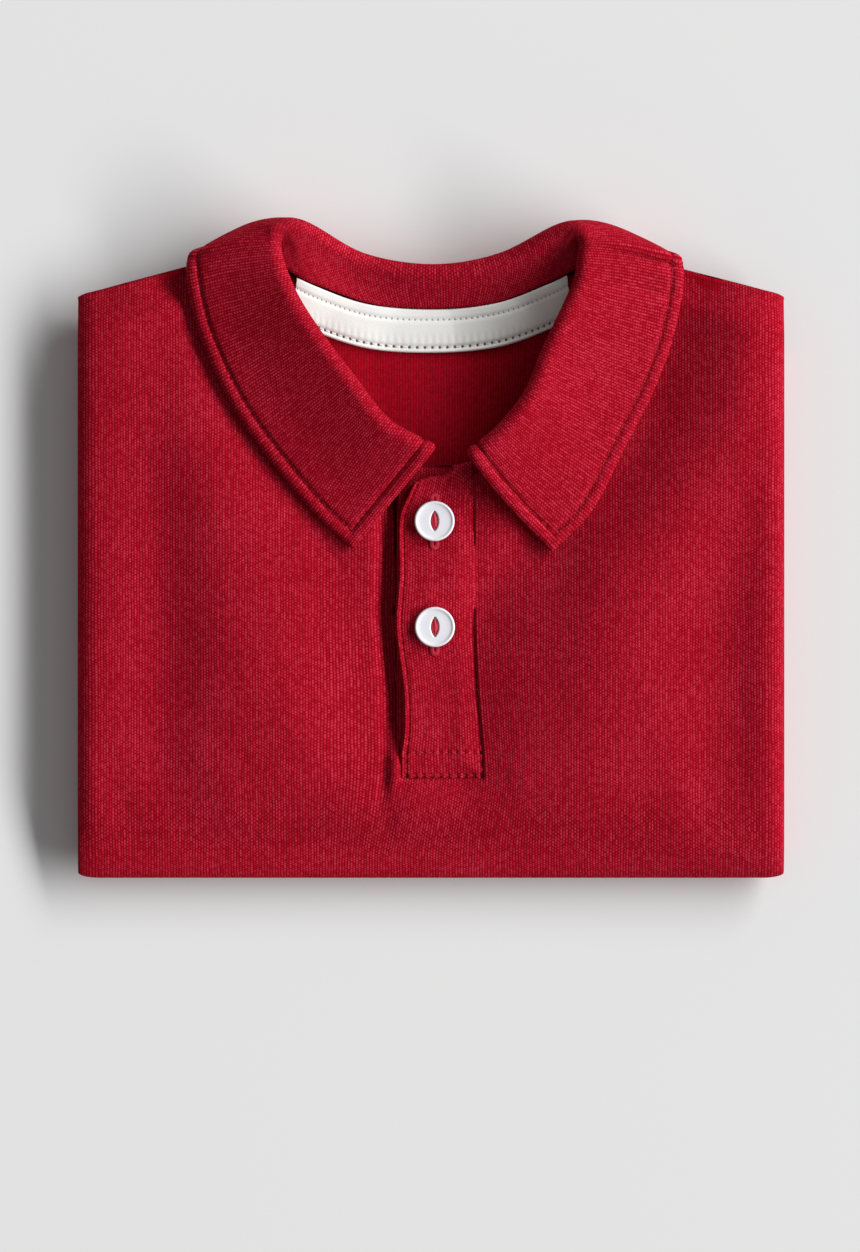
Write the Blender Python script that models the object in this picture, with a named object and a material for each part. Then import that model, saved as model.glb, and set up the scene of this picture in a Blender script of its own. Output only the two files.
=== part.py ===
"""A child's long-sleeve polo shirt, folded for a shelf and lying on its folded-up lower half.

The front faces up with its collar at +Y and its two buttons on the centre line. The sides and sleeves
are folded in behind, and the lower half is folded up under them, so the front panel runs over the top,
round both sides, round the bottom fold and back underneath to the hem. Each piece is a closed wall of
cloth. Sizes below are in millimetres, and every mesh is scaled to metres when it is built.
"""
import math

import bmesh
import bpy
from mathutils import Vector

MM = 0.001

# Cloth
CLOTH = 1.2            # jersey wall of the body
PLY = 1.0              # one ply of the collar, and the neck tape
GAP = 0.3              # clearance between pieces at a seam

# The folded bundle
HALF_WIDTH = 110.0     # side fold to centre line
STACK = 15.1           # top of the front panel above the surface it lies on
MIDDLE = STACK / 2     # height of the fold line between the two halves
BOTTOM_Y = -103.0      # nose of the bottom fold
BOTTOM_REACH = 22.0    # length of the roll-off into the bottom fold
HEM_Y = 61.0           # hem of the folded-up lower half
SIDE_NOSE = 6.5        # width of the roll-off into a side fold
CORNER_INSET = 0.45    # how far deeper cloth lies inside the bottom fold's nose
LOBE = 7.4             # height of one folded half at the sides
FLAP = 14.0            # width of the cloth that returns behind a side fold
SHOULDER_Y = 78.2      # shoulder seam at the side fold
SHOULDER_SLOPE = 0.27  # rise of the shoulder seam towards the neck
SHOULDER_DROOP = 4.0   # fall of the top layers at the shoulder seam
DROOP_REACH = 14.0     # length of that fall
SLACK = 2.3            # room between front and back under the placket
NECK_SINK = 3.1        # further sink of the back panel inside the neck
NECK_CENTRE = (1.0, 54.0)
NECK_RADII = (46.0, 32.0)

BACK_HALF = 103.0      # half width of the back panel between the side folds
BACK_TOP = 88.0        # y of the back panel's corners beside the collar
NECKLINE_MARGIN = 1.7  # front's neckline outside the collar seam
BACK_NECK_MARGIN = 1.5  # back's neckline inside the collar seam

# Collar
ROLL = 2.2             # radius of the collar's roll line at mid-thickness
PLY_OFFSET = 0.15      # half of the gap between the collar's plies
STAND_SHARE = 0.28     # share of the collar's width up to the roll
ROLL_SHARE = 0.46      # share of the collar's width up to the fall
CORNER_REACH = 16.0    # length of the collar's turn over each shoulder

# Neck tape, placket and buttons
TAPE_WIDTH = 13.0
TAPE_REACH = 1.9       # tape's top edge below the collar seam
TAPE_END = 16.0        # tape's ends short of the shoulder seams, measured along the collar
PLACKET_WALL = 1.6
PLACKET_RISE = 0.45    # placket's face above the front panel
UNDERLAP_WALL = 1.2
UNDERLAP_LEFT = -12.0
UNDERLAP_WIDTH = 20.5
UNDERLAP_ROWS = (25.5, 10.0, -10.0, -30.0, -50.0, -70.0)
UNDERLAP_DROP = 0.65   # underlap below the placket's back
BUTTON_DIP = (1.25, 3.3, 0.95)    # half sizes of the thumb dip
BUTTON_DIP_HEIGHT = 2.0
BUTTON_LIFT = 0.4      # button above the placket's face
BUTTON_HOLE_RADIUS = 0.7
BUTTON_HOLE_PITCH = 2.8
BUTTON_PLACES = {"button_upper": (1.1, 8.1), "button_lower": (1.2, -24.8)}
BUTTONHOLE_LENGTH = 15.0
BUTTONHOLE_WIDTH = 0.8

# Soft ridges and troughs that run down the front: centre x, half width, height at mid-length
FRONT_FOLDS = (
    {"name": "left side ridge", "x": -103.5, "width": 7.0, "height": 0.5},
    {"name": "left trough", "x": -84.0, "width": 11.0, "height": -0.8},
    {"name": "left ridge", "x": -54.0, "width": 17.0, "height": 0.7},
    {"name": "fold beside the placket", "x": -17.0, "width": 6.0, "height": -0.7},
    {"name": "right trough", "x": 24.0, "width": 9.0, "height": -0.9},
    {"name": "right ridge", "x": 55.0, "width": 16.0, "height": 0.9},
    {"name": "right dip", "x": 88.0, "width": 8.0, "height": -0.5},
)

# Cross-sections of the collar, from its left front end round the back to its right front end.
# seam: where it is sewn to the neck. roll: centre of its roll. out: plan direction it falls in, degrees.
# edge: its outer edge, with its height above the level of the front panel. lead: where the fall comes from
# just before its edge, seen from the edge.
COLLAR_SECTIONS = (
    {"seam": (-1.8, 26.6, 14.6), "roll": (-0.2, 28.7, 17.6), "out": 231,
     "edge": (-24.3, -0.7, 1.75), "lead": (9.5, 11.6, 0.5)},
    {"seam": (-17.4, 33.6, 14.2), "roll": (-14.6, 37.1, 18.6), "out": 231,
     "edge": (-36.2, 10.5, 1.75), "lead": (8.7, 10.7, 0.8)},
    {"seam": (-30.5, 46.6, 14.1), "roll": (-25.7, 50.6, 19.6), "out": 218,
     "edge": (-51.8, 29.5, 1.75), "lead": (10.5, 8.4, 1.0)},
    {"seam": (-41.5, 58.2, 14.0), "roll": (-35.1, 63.0, 20.3), "out": 216,
     "edge": (-62.1, 44.7, 1.75), "lead": (10.8, 7.3, 1.2)},
    {"seam": (-49.6, 72.0, 13.7), "roll": (-43.2, 75.3, 20.6), "out": 206,
     "edge": (-71.2, 64.2, 1.75), "lead": (11.0, 4.5, 1.6)},
    {"seam": (-52.3, 83.0, 12.6), "roll": (-47.4, 84.6, 20.6), "out": 192,
     "edge": (-75.0, 78.0, 1.75), "lead": (9.5, 3.2, 2.4)},
    {"seam": (-51.6, 87.4, 11.4), "roll": (-49.2, 90.6, 20.4), "out": 182,
     "edge": (-75.8, 86.4, 2.2), "lead": (5.0, 1.5, 3.0)},
    {"seam": (-49.6, 88.6, 10.7), "roll": (-49.4, 95.0, 20.2), "out": 172,
     "edge": (-73.8, 90.9, -3.0), "lead": (0.8, 0.8, 5.5)},
    {"seam": (-45.0, 86.4, 9.9), "roll": (-47.0, 98.8, 19.8), "out": 145,
     "edge": (-63.0, 88.0, -12.8), "lead": (-3.0, 9.5, 2.0)},
    {"seam": (-36.5, 82.0, 9.3), "roll": (-39.7, 98.2, 19.5), "out": 88,
     "edge": (-44.0, 78.0, -13.1), "lead": (0.0, 18.5, 0.5)},
    {"seam": (-19.0, 76.2, 8.8), "roll": (-21.5, 88.5, 18.9), "out": 76,
     "edge": (-21.0, 71.0, -13.1), "lead": (0.0, 16.5, 0.0)},
    {"seam": (1.0, 74.9, 8.5), "roll": (0.5, 85.0, 18.5), "out": 90,
     "edge": (0.0, 69.5, -13.1), "lead": (0.0, 15.0, 0.0)},
    {"seam": (20.0, 76.6, 8.8), "roll": (21.5, 88.3, 18.9), "out": 104,
     "edge": (21.0, 71.0, -13.1), "lead": (0.0, 16.5, 0.0)},
    {"seam": (37.0, 82.6, 9.3), "roll": (39.7, 97.2, 19.5), "out": 92,
     "edge": (44.0, 77.5, -13.1), "lead": (0.0, 18.0, 0.5)},
    {"seam": (45.0, 86.6, 9.9), "roll": (46.2, 98.2, 19.8), "out": 35,
     "edge": (64.0, 87.4, -12.8), "lead": (3.0, 9.0, 2.0)},
    {"seam": (49.6, 88.2, 10.7), "roll": (48.9, 94.6, 20.2), "out": 8,
     "edge": (76.6, 89.6, -3.0), "lead": (-0.8, 0.8, 5.5)},
    {"seam": (51.6, 86.6, 11.4), "roll": (48.4, 89.4, 20.4), "out": 0,
     "edge": (78.4, 84.6, 2.2), "lead": (-5.0, 1.5, 3.0)},
    {"seam": (52.6, 81.0, 12.6), "roll": (47.4, 82.6, 20.6), "out": -12,
     "edge": (77.6, 76.0, 1.75), "lead": (-10.0, 3.0, 2.4)},
    {"seam": (50.3, 70.5, 13.7), "roll": (43.3, 72.9, 20.6), "out": -26,
     "edge": (74.3, 62.0, 1.75), "lead": (-11.0, 4.4, 1.6)},
    {"seam": (45.3, 59.5, 14.0), "roll": (37.4, 60.5, 20.4), "out": -25,
     "edge": (69.0, 48.1, 1.75), "lead": (-11.5, 5.0, 1.2)},
    {"seam": (38.5, 45.5, 14.1), "roll": (31.5, 46.6, 20.2), "out": -28,
     "edge": (60.4, 31.2, 1.75), "lead": (-11.0, 6.0, 1.0)},
    {"seam": (25.5, 32.0, 15.2), "roll": (21.7, 34.4, 19.8), "out": -45,
     "edge": (49.8, 11.0, 1.75), "lead": (-10.5, 9.0, 0.8)},
    {"seam": (13.8, 24.2, 17.4), "roll": (12.5, 26.9, 19.3), "out": -55,
     "edge": (37.6, -1.6, 1.75), "lead": (-9.0, 9.0, 0.5)},
)
LEFT_NECK_ROW, RIGHT_NECK_ROW = 7, 15    # sections where the shoulder seams meet the collar

# Placket edges down its length: left free edge, right seam
PLACKET_ROWS = (
    {"y": 20.1, "left": -5.4, "right": 13.0, "slant": 5.5},
    {"y": 16.0, "left": -7.3, "right": 13.1, "slant": 4.0},
    {"y": 10.0, "left": -9.8, "right": 13.2, "slant": 1.5},
    {"y": 3.0, "left": -10.3, "right": 13.2, "slant": 0.0},
    {"y": -8.0, "left": -10.1, "right": 13.3, "slant": 0.0},
    {"y": -25.0, "left": -11.1, "right": 13.4, "slant": 0.0},
    {"y": -44.0, "left": -8.8, "right": 14.2, "slant": 0.0},
    {"y": -57.0, "left": -8.6, "right": 15.3, "slant": 0.0},
    {"y": -64.0, "left": -9.4, "right": 15.8, "slant": 0.0},
    {"y": -71.6, "left": -9.4, "right": 16.2, "slant": 0.0},
)

# Slot in the front panel for the placket strips
SLOT_ROWS = (
    {"y": 24.0, "left": -13.6, "right": 13.6},
    {"y": 5.0, "left": -13.0, "right": 13.6},
    {"y": -20.0, "left": -12.4, "right": 13.8},
    {"y": -45.0, "left": -11.2, "right": 14.8},
    {"y": -60.0, "left": -10.4, "right": 15.9},
    {"y": -72.0, "left": -9.8, "right": 16.6},
)

# Turned outline of a button, from the middle of its back round to the middle of its face
BUTTON_PROFILE = (
    {"radius": 0.0, "height": 0.0},
    {"radius": 4.6, "height": 0.0},
    {"radius": 5.8, "height": 0.45},
    {"radius": 6.25, "height": 1.25},
    {"radius": 6.0, "height": 2.2},
    {"radius": 5.3, "height": 2.6},
    {"radius": 4.5, "height": 2.3},
    {"radius": 3.8, "height": 1.9},
    {"radius": 0.0, "height": 1.9},
)

# Hidden layers of the lower half, bottom first
LOWER_LAYERS = (
    {"low": 1.5, "high": 3.55, "half_width": 104.5, "back": 58.0, "front": -86.0},
    {"low": 3.8, "high": 5.9, "half_width": 103.0, "back": 55.0, "front": -88.0},
)
CORE = {"low": 2.2, "high": 5.4, "half_width": 84.0, "back": 53.0, "front": -80.0}
UPPER_LAYER_LOW = 4.5  # underside of the upper hidden layers between the side flaps

MATERIALS = {
    "red_jersey": ((0.41, 0.009, 0.030, 1.0), 0.85),
    "white_twill": ((0.80, 0.75, 0.72, 1.0), 0.8),
    "white_button": ((0.88, 0.88, 0.87, 1.0), 0.25),
}


def clear_scene():
    for thing in list(bpy.data.objects):
        bpy.data.objects.remove(thing, do_unlink=True)


def make_material(name):
    colour, roughness = MATERIALS[name]
    material = bpy.data.materials.new(name)
    material.use_nodes = True
    shader = material.node_tree.nodes["Principled BSDF"]
    shader.inputs["Base Color"].default_value = colour
    shader.inputs["Roughness"].default_value = roughness
    shader.inputs["Metallic"].default_value = 0.0
    return material


def ramp(start, end, x):
    """0 before start, 1 after end, and a smooth rise between them."""
    t = min(1.0, max(0.0, (x - start) / (end - start)))
    return t * t * (3.0 - 2.0 * t)


def steps(start, end, count):
    """count + 1 evenly spaced numbers from start to end."""
    return [start + (end - start) * i / count for i in range(count + 1)]


def smooth(keys, values, at):
    """A smooth curve through values at rising keys, for numbers or vectors."""
    last = len(keys) - 1
    i = min(last - 1, max(0, sum(1 for key in keys[1:-1] if key <= at)))
    before, after = max(0, i - 1), min(last, i + 2)
    span = keys[i + 1] - keys[i]
    t = (at - keys[i]) / span
    slope_in = (values[i + 1] - values[before]) * (span / (keys[i + 1] - keys[before]))
    slope_out = (values[after] - values[i]) * (span / (keys[after] - keys[i]))
    t2, t3 = t * t, t * t * t
    return (values[i] * (2 * t3 - 3 * t2 + 1) + slope_in * (t3 - 2 * t2 + t)
            + values[i + 1] * (3 * t2 - 2 * t3) + slope_out * (t3 - t2))


# --- surfaces of the bundle ---

def shoulder_line(across):
    """y of the shoulder seam at a distance across the cloth from the centre line."""
    return SHOULDER_Y + SHOULDER_SLOPE * (HALF_WIDTH - abs(across))


def relief(x, y):
    """Height of the soft folds that run down the front."""
    height = sum(fold["height"] * math.exp(-((x - fold["x"]) / fold["width"]) ** 2) for fold in FRONT_FOLDS)
    return height * ramp(-98.0, -70.0, y) * ramp(88.0, 60.0, y)


def droop(across, y):
    """How far the top layers hang down near the shoulder seam."""
    inside = shoulder_line(min(abs(across), HALF_WIDTH + 2.0)) - y
    return SHOULDER_DROOP * (1.0 - ramp(0.0, DROOP_REACH, inside))


def front_top(x, y):
    """Height of the front panel's face over its upper half."""
    return STACK + relief(x, y) - droop(x, y)


def back_top(x, y):
    """Height of the back panel's inner face, which shows inside the neck."""
    middle = ramp(96.0, 74.0, abs(x)) * ramp(-92.0, -78.0, y) * ramp(0.0, 9.0, shoulder_line(x) - y)
    away = math.hypot((x - NECK_CENTRE[0]) / NECK_RADII[0], (y - NECK_CENTRE[1]) / NECK_RADII[1])
    sink = NECK_SINK * ramp(1.35, 0.95, away)
    return front_top(x, y) - relief(x, y) * 0.5 - CLOTH - GAP - 0.3 - SLACK * middle - sink * middle


# --- meshes ---

def face_outwards(mesh):
    bmesh.ops.recalc_face_normals(mesh, faces=mesh.faces)
    if mesh.calc_volume(signed=True) < 0.0:
        bmesh.ops.reverse_faces(mesh, faces=mesh.faces)


def wall(columns, rows, place):
    """A closed wall with a vertex for each column and row on both faces, set by place(column, row, depth)."""
    mesh = bmesh.new()
    last_column, last_row = len(columns) - 1, len(rows) - 1
    bmesh.ops.create_grid(mesh, x_segments=last_column, y_segments=last_row, size=1.0)
    face = list(mesh.faces)
    back = bmesh.ops.extrude_face_region(mesh, geom=face, use_keep_orig=True)["geom"]
    for vert in back:
        if isinstance(vert, bmesh.types.BMVert):
            vert.co.z = 1.0
    for vert in mesh.verts:
        column = columns[round((vert.co.x + 1.0) / 2.0 * last_column)]
        row = rows[round((vert.co.y + 1.0) / 2.0 * last_row)]
        vert.co = Vector(place(column, row, vert.co.z)) * MM
    face_outwards(mesh)
    return mesh


def add_object(name, mesh, material):
    data = bpy.data.meshes.new(name)
    mesh.to_mesh(data)
    mesh.free()
    thing = bpy.data.objects.new(name, data)
    bpy.context.scene.collection.objects.link(thing)
    if material is not None:
        data.materials.append(material)
        data.shade_smooth()
        data.set_sharp_from_angle(angle=math.radians(40.0))
    return thing


def prism(outline, low, high):
    """A closed upright prism on an outline."""
    mesh = bmesh.new()
    base = mesh.faces.new([mesh.verts.new((x * MM, y * MM, low * MM)) for x, y in outline])
    top = bmesh.ops.extrude_face_region(mesh, geom=[base], use_keep_orig=True)["geom"]
    moved = [item for item in top if isinstance(item, bmesh.types.BMVert)]
    bmesh.ops.translate(mesh, verts=moved, vec=(0.0, 0.0, (high - low) * MM))
    face_outwards(mesh)
    return mesh


def boolean(target, name, mesh, operation):
    """Adds a cutter or a partner that stays out of the finished part."""
    tool = add_object(name, mesh, None)
    tool.hide_render = True
    tool.display_type = "WIRE"
    modifier = target.modifiers.new(name, "BOOLEAN")
    modifier.operation = operation
    modifier.solver = "EXACT"
    modifier.object = tool
    return tool


# --- guides of the collar ---

def collar_guide(name):
    return [Vector(section[name]) for section in COLLAR_SECTIONS]


def collar_keys():
    """Distance round the collar at each section, between its roll and its outer edge."""
    rolls, edges = collar_guide("roll"), collar_guide("edge")
    keys = [0.0]
    for i in range(1, len(rolls)):
        keys.append(keys[-1] + ((rolls[i] - rolls[i - 1]).length + (edges[i] - edges[i - 1]).length) / 2)
    return keys


KEYS = collar_keys()
SEAMS, ROLLS = collar_guide("seam"), collar_guide("roll")
EDGES, LEADS = collar_guide("edge"), collar_guide("lead")
TURNS = [math.radians(section["out"]) for section in COLLAR_SECTIONS]
LEFT_NECK_KEY, RIGHT_NECK_KEY = KEYS[LEFT_NECK_ROW], KEYS[RIGHT_NECK_ROW]


# --- front and back ---

NOSE_LENGTH = math.pi * math.sqrt((SIDE_NOSE ** 2 + (LOBE / 2) ** 2) / 2)
FLAT_HALF = HALF_WIDTH - SIDE_NOSE


def across_section(across, layer):
    """x, depth below the face and inset at the bottom fold, over a side fold and back behind it."""
    side = math.copysign(1.0, across)
    beyond = abs(across) - FLAT_HALF
    depth = layer * CLOTH
    angle = min(math.pi, max(0.0, beyond / NOSE_LENGTH * math.pi))
    inset = CORNER_INSET * LOBE / 2 * (1.0 - math.cos(angle)) + depth * math.cos(angle)
    x = FLAT_HALF + (SIDE_NOSE - depth) * math.sin(angle)
    below = LOBE / 2 - (LOBE / 2 - depth) * math.cos(angle)
    if beyond <= 0.0:
        x = abs(across)
    if beyond > NOSE_LENGTH:
        x = FLAT_HALF - (beyond - NOSE_LENGTH)
    return side * x, below, inset


def front_place(across, along, layer):
    """along is (stretch, value): down the top, round the bottom fold, then back underneath."""
    x, depth, inset = across_section(across, layer)
    stretch, value = along
    fold_start = BOTTOM_Y + BOTTOM_REACH
    if stretch == "top":
        y = fold_start + (shoulder_line(across) - fold_start) * value
        return x, y, STACK - depth + relief(x, y) * ramp(LOBE, 0.0, depth) - droop(across, y)
    if stretch == "fold":
        y = fold_start - (BOTTOM_REACH - inset) * math.sin(value)
        z = MIDDLE + (MIDDLE - depth) * math.cos(value)
        return x, y, z + relief(x, y) * ramp(LOBE, 0.0, depth) * max(0.0, math.cos(value))
    return x, fold_start + (HEM_Y - fold_start) * value, depth


def front_columns():
    nose = steps(0.0, NOSE_LENGTH, 6)[1:]
    right = [FLAT_HALF + step for step in nose] + [FLAT_HALF + NOSE_LENGTH + FLAP]
    return [-c for c in reversed(right)] + steps(-FLAT_HALF, FLAT_HALF, 18) + right


def front_rows():
    top = [("top", v) for v in (1.0, 0.975, 0.95, 0.915, 0.87)] + [("top", v) for v in steps(0.81, 0.0, 9)]
    fold = [("fold", v) for v in steps(0.0, math.pi, 10)[1:]]
    under = [("under", v) for v in (0.35, 0.7, 1.0)]
    return top + fold + under


def neck_outline():
    """The front's neckline just outside the collar seam, and the slot for the placket strips."""
    centre = Vector((*NECK_CENTRE, 0.0)).to_2d() + Vector((0.5, 12.0))

    def neckline(keys, side):
        points = []
        for key in keys:
            point = smooth(KEYS, SEAMS, key).to_2d()
            point += (point - centre).normalized() * NECKLINE_MARGIN
            if point.x * side > SLOT_ROWS[0]["right"]:
                points.append(tuple(point))
        return points

    left = neckline(steps(KEYS[LEFT_NECK_ROW - 1], 0.0, 14), -1.0)
    right = neckline(steps(KEYS[-1], KEYS[RIGHT_NECK_ROW + 1], 14), 1.0)
    slot_left = [(row["left"], row["y"]) for row in SLOT_ROWS]
    slot_right = [(row["right"], row["y"]) for row in reversed(SLOT_ROWS)]
    past = HALF_WIDTH
    return left + slot_left + slot_right + right + [(57.5, 91.0), (57.5, past), (-57.5, past), (-57.5, 91.5)]


def build_front(material):
    panel = add_object("front_panel", wall(front_columns(), front_rows(), front_place), material)
    boolean(panel, "neck_cutter", prism(neck_outline(), MIDDLE + 0.75, STACK + 12.0), "DIFFERENCE")


def back_edge(x):
    """y of the back panel's upper edge: the neck seam between the shoulders, and the shoulder seams."""
    neck = SEAMS[LEFT_NECK_ROW:RIGHT_NECK_ROW + 1]
    if neck[0].x < x < neck[-1].x:
        return smooth([p.x for p in neck], [p.y for p in neck], x) - BACK_NECK_MARGIN
    return min(shoulder_line(x) - 0.4, BACK_TOP + 8.0 * ramp(52.0, 60.0, abs(x)))


def back_place(x, along, layer):
    start = BOTTOM_Y + BOTTOM_REACH - 1.0
    y = start + (back_edge(x) - start) * along
    return x, y, back_top(x, y) - layer * CLOTH


def back_columns():
    """Shared by the back panel and the layers under it, so that both follow one surface."""
    inner = FLAT_HALF - FLAP - 4.0
    side = [inner + 3.6, inner + 9.0, BACK_HALF - 3.0, BACK_HALF]
    return [-x for x in reversed(side)] + steps(-inner, inner, 16) + side


BACK_ROWS = (1.0, 0.975, 0.94, 0.89, 0.83, 0.77, 0.71, 0.64, 0.55, 0.45, 0.3, 0.15, 0.04, 0.015, 0.0)


def build_back(material):
    add_object("back_panel", wall(back_columns(), BACK_ROWS, back_place), material)


def round_slab(layer):
    """A flat layer with rounded corners and edges."""
    mesh = bmesh.new()
    bmesh.ops.create_cube(mesh, size=1.0)
    size = (layer["half_width"] * 2, layer["back"] - layer["front"], layer["high"] - layer["low"])
    centre = (0.0, (layer["back"] + layer["front"]) / 2, (layer["low"] + layer["high"]) / 2)
    bmesh.ops.scale(mesh, vec=Vector(size) * MM, verts=mesh.verts)
    bmesh.ops.translate(mesh, vec=Vector(centre) * MM, verts=mesh.verts)
    upright = [e for e in mesh.edges if abs(e.verts[0].co.z - e.verts[1].co.z) > MM]
    bmesh.ops.bevel(mesh, geom=upright, offset=9 * MM, segments=3, affect="EDGES", profile=0.5, material=-1)
    rims = {e for f in mesh.faces if abs(f.normal.z) > 0.9 for e in f.edges}
    bmesh.ops.bevel(mesh, geom=list(rims), offset=0.85 * MM, segments=2, affect="EDGES", profile=0.5,
                    material=-1)
    face_outwards(mesh)
    return mesh


def upper_layer_place(x, along, layer):
    x, y, top = back_place(x, along, 1.0)
    top -= GAP
    rim = max(ramp(BACK_HALF - 6.0, BACK_HALF, abs(x)), ramp(0.93, 0.975, along), ramp(0.05, 0.015, along))
    flap_edge = FLAT_HALF - FLAP
    beside_flap = STACK - LOBE + CLOTH + GAP - droop(x, y)
    low = UPPER_LAYER_LOW + (beside_flap - UPPER_LAYER_LOW) * ramp(flap_edge - 4.0, flap_edge - 0.5, abs(x))
    low = min(low, top - 1.4)
    inset = (top - low) * 0.22 * rim
    return x, y, top - inset if layer == 0.0 else low + inset


def build_folded_layers(material):
    body = add_object("folded_layers", wall(back_columns(), BACK_ROWS[1:-1], upper_layer_place), material)
    boolean(body, "core_partner", round_slab(CORE), "UNION")
    for number, layer in enumerate(LOWER_LAYERS):
        boolean(body, f"layer_partner_{number}", round_slab(layer), "UNION")


# --- collar ---

def section_point(key, share):
    """A point on the collar's mid-surface: key runs round the neck, share from seam (0) to edge (1)."""
    seam, roll, edge, lead = (smooth(KEYS, guide, key) for guide in (SEAMS, ROLLS, EDGES, LEADS))
    edge.z += front_top(edge.x, min(edge.y, SHOULDER_Y - 2.0)) if edge.z > 0.0 else STACK
    turn = smooth(KEYS, TURNS, key)
    out = Vector((math.cos(turn), math.sin(turn), 0.0))
    up = Vector((0.0, 0.0, 1.0))

    def tangent_angle(point, side):
        flat, rise = (point - roll).dot(out), point.z - roll.z
        away = max(ROLL * 1.02, math.hypot(flat, rise))
        heading = math.atan2(rise, flat)
        if side < 0 and heading > 0.0:
            heading -= 2.0 * math.pi
        if side < 0:
            heading += 2.0 * math.pi
        return heading + side * math.acos(ROLL / away)

    start, end = tangent_angle(seam, -1), tangent_angle(edge + lead, 1)
    if share < STAND_SHARE:
        t = share / STAND_SHARE
        first = roll + (out * math.cos(start) + up * math.sin(start)) * ROLL
        heading = out * -math.sin(start) + up * math.cos(start)
        reach = (first - seam).length
        handle = first + heading * reach * 0.35
        return bezier(seam, seam.lerp(handle, 0.5), handle, first, t)
    if share < ROLL_SHARE:
        t = (share - STAND_SHARE) / (ROLL_SHARE - STAND_SHARE)
        angle = start + (end - start) * t
        return roll + (out * math.cos(angle) + up * math.sin(angle)) * ROLL
    t = (share - ROLL_SHARE) / (1.0 - ROLL_SHARE)
    last = roll + (out * math.cos(end) + up * math.sin(end)) * ROLL
    heading = out * math.sin(end) - up * math.cos(end)
    reach = (edge - last).length
    return bezier(last, last + heading * reach * 0.35, edge + lead, edge, t)


def bezier(a, b, c, d, t):
    s = 1.0 - t
    return a * (s * s * s) + b * (3 * s * s * t) + c * (3 * s * t * t) + d * (t * t * t)


def collar_normal(key, share):
    """The face that shows: the neck side of the stand and the top of the fall."""
    nudge = 0.2
    ahead = section_point(min(KEYS[-1], key + nudge), share) - section_point(max(0.0, key - nudge), share)
    down = section_point(key, min(1.0, share + 0.01)) - section_point(key, max(0.0, share - 0.01))
    return ahead.cross(down).normalized()


def collar_ply(low, high):
    def place(key, share, layer):
        return section_point(key, share) + collar_normal(key, share) * (high + (low - high) * layer)
    return place


def collar_columns():
    """Steps round the collar, closer together where it turns over the shoulders."""
    stops = [0.0, LEFT_NECK_KEY - CORNER_REACH, LEFT_NECK_KEY + CORNER_REACH, RIGHT_NECK_KEY - CORNER_REACH,
             RIGHT_NECK_KEY + CORNER_REACH, KEYS[-1]]
    counts = [12, 12, 10, 12, 11]
    keys = [0.0]
    for start, end, count in zip(stops, stops[1:], counts):
        keys += steps(start, end, count)[1:]
    return keys


def build_collar(material_top, material_under):
    keys = collar_columns()
    shares = (steps(0.0, STAND_SHARE, 3)[:-1] + steps(STAND_SHARE, ROLL_SHARE, 5)[:-1]
              + steps(ROLL_SHARE, 1.0, 6))
    top, middle = PLY_OFFSET + PLY, PLY_OFFSET
    add_object("upper_collar", wall(keys, shares, collar_ply(middle, top)), material_top)
    add_object("under_collar", wall(keys, shares, collar_ply(-top, -middle)), material_under)


# --- neck tape ---

def tape_place(key, share, layer):
    here = smooth(KEYS, SEAMS, key).to_2d()
    ahead = (smooth(KEYS, SEAMS, key + 0.5) - smooth(KEYS, SEAMS, key - 0.5)).to_2d().normalized()
    inward = (Vector((ahead.y, -ahead.x)) + Vector((0.0, -3.0))).normalized()
    spot = here + inward * (TAPE_REACH + TAPE_WIDTH * share)
    carrier = max(back_top(spot.x + aside, spot.y) for aside in (-5.0, 0.0, 5.0))
    return spot.x, spot.y, carrier + GAP + 0.2 + PLY * (1.0 - layer)


def build_tape(material):
    columns = steps(LEFT_NECK_KEY + TAPE_END, RIGHT_NECK_KEY - TAPE_END, 20)
    add_object("neck_tape", wall(columns, steps(0.0, 1.0, 3), tape_place), material)


# --- placket ---

def placket_edges(y):
    rows = list(reversed(PLACKET_ROWS))
    keys = [row["y"] for row in rows]
    at = min(keys[-1], max(keys[0], y))
    return [smooth(keys, [row[name] for row in rows], at) for name in ("left", "right", "slant")]


def placket_face(x, y):
    return front_top(x, y) + PLACKET_RISE - relief(x, y) * 0.7


def placket_place(share, y, layer):
    left, right, slant = placket_edges(y)
    x = left + (right - left) * share
    y = y + slant * math.sin(math.pi * share / 1.5)
    lift = 0.25 * (1.0 - ramp(0.0, 0.25, share))
    return x, y, placket_face(x, y) + lift - layer * PLACKET_WALL


def underlap_place(share, y, layer):
    x = UNDERLAP_LEFT + UNDERLAP_WIDTH * share
    return x, y, front_top(x, 0.0) + PLACKET_RISE - PLACKET_WALL - UNDERLAP_DROP - layer * UNDERLAP_WALL


def build_placket(material):
    rows = [row["y"] for row in PLACKET_ROWS]
    strip = add_object("placket", wall([0.0, 0.12, 0.4, 0.7, 1.0], rows, placket_place), material)
    for name, (x, y) in BUTTON_PLACES.items():
        left, right = x - BUTTONHOLE_WIDTH / 2, x + BUTTONHOLE_WIDTH / 2
        low, high = y - BUTTONHOLE_LENGTH / 2, y + BUTTONHOLE_LENGTH / 2
        slit = [(left, low), (right, low), (right, high), (left, high)]
        boolean(strip, f"{name}_slit", prism(slit, STACK - 2.4, STACK + 4.0), "DIFFERENCE")
    add_object("placket_underlap", wall([0.0, 0.5, 1.0], UNDERLAP_ROWS, underlap_place), material)


# --- buttons ---

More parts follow.
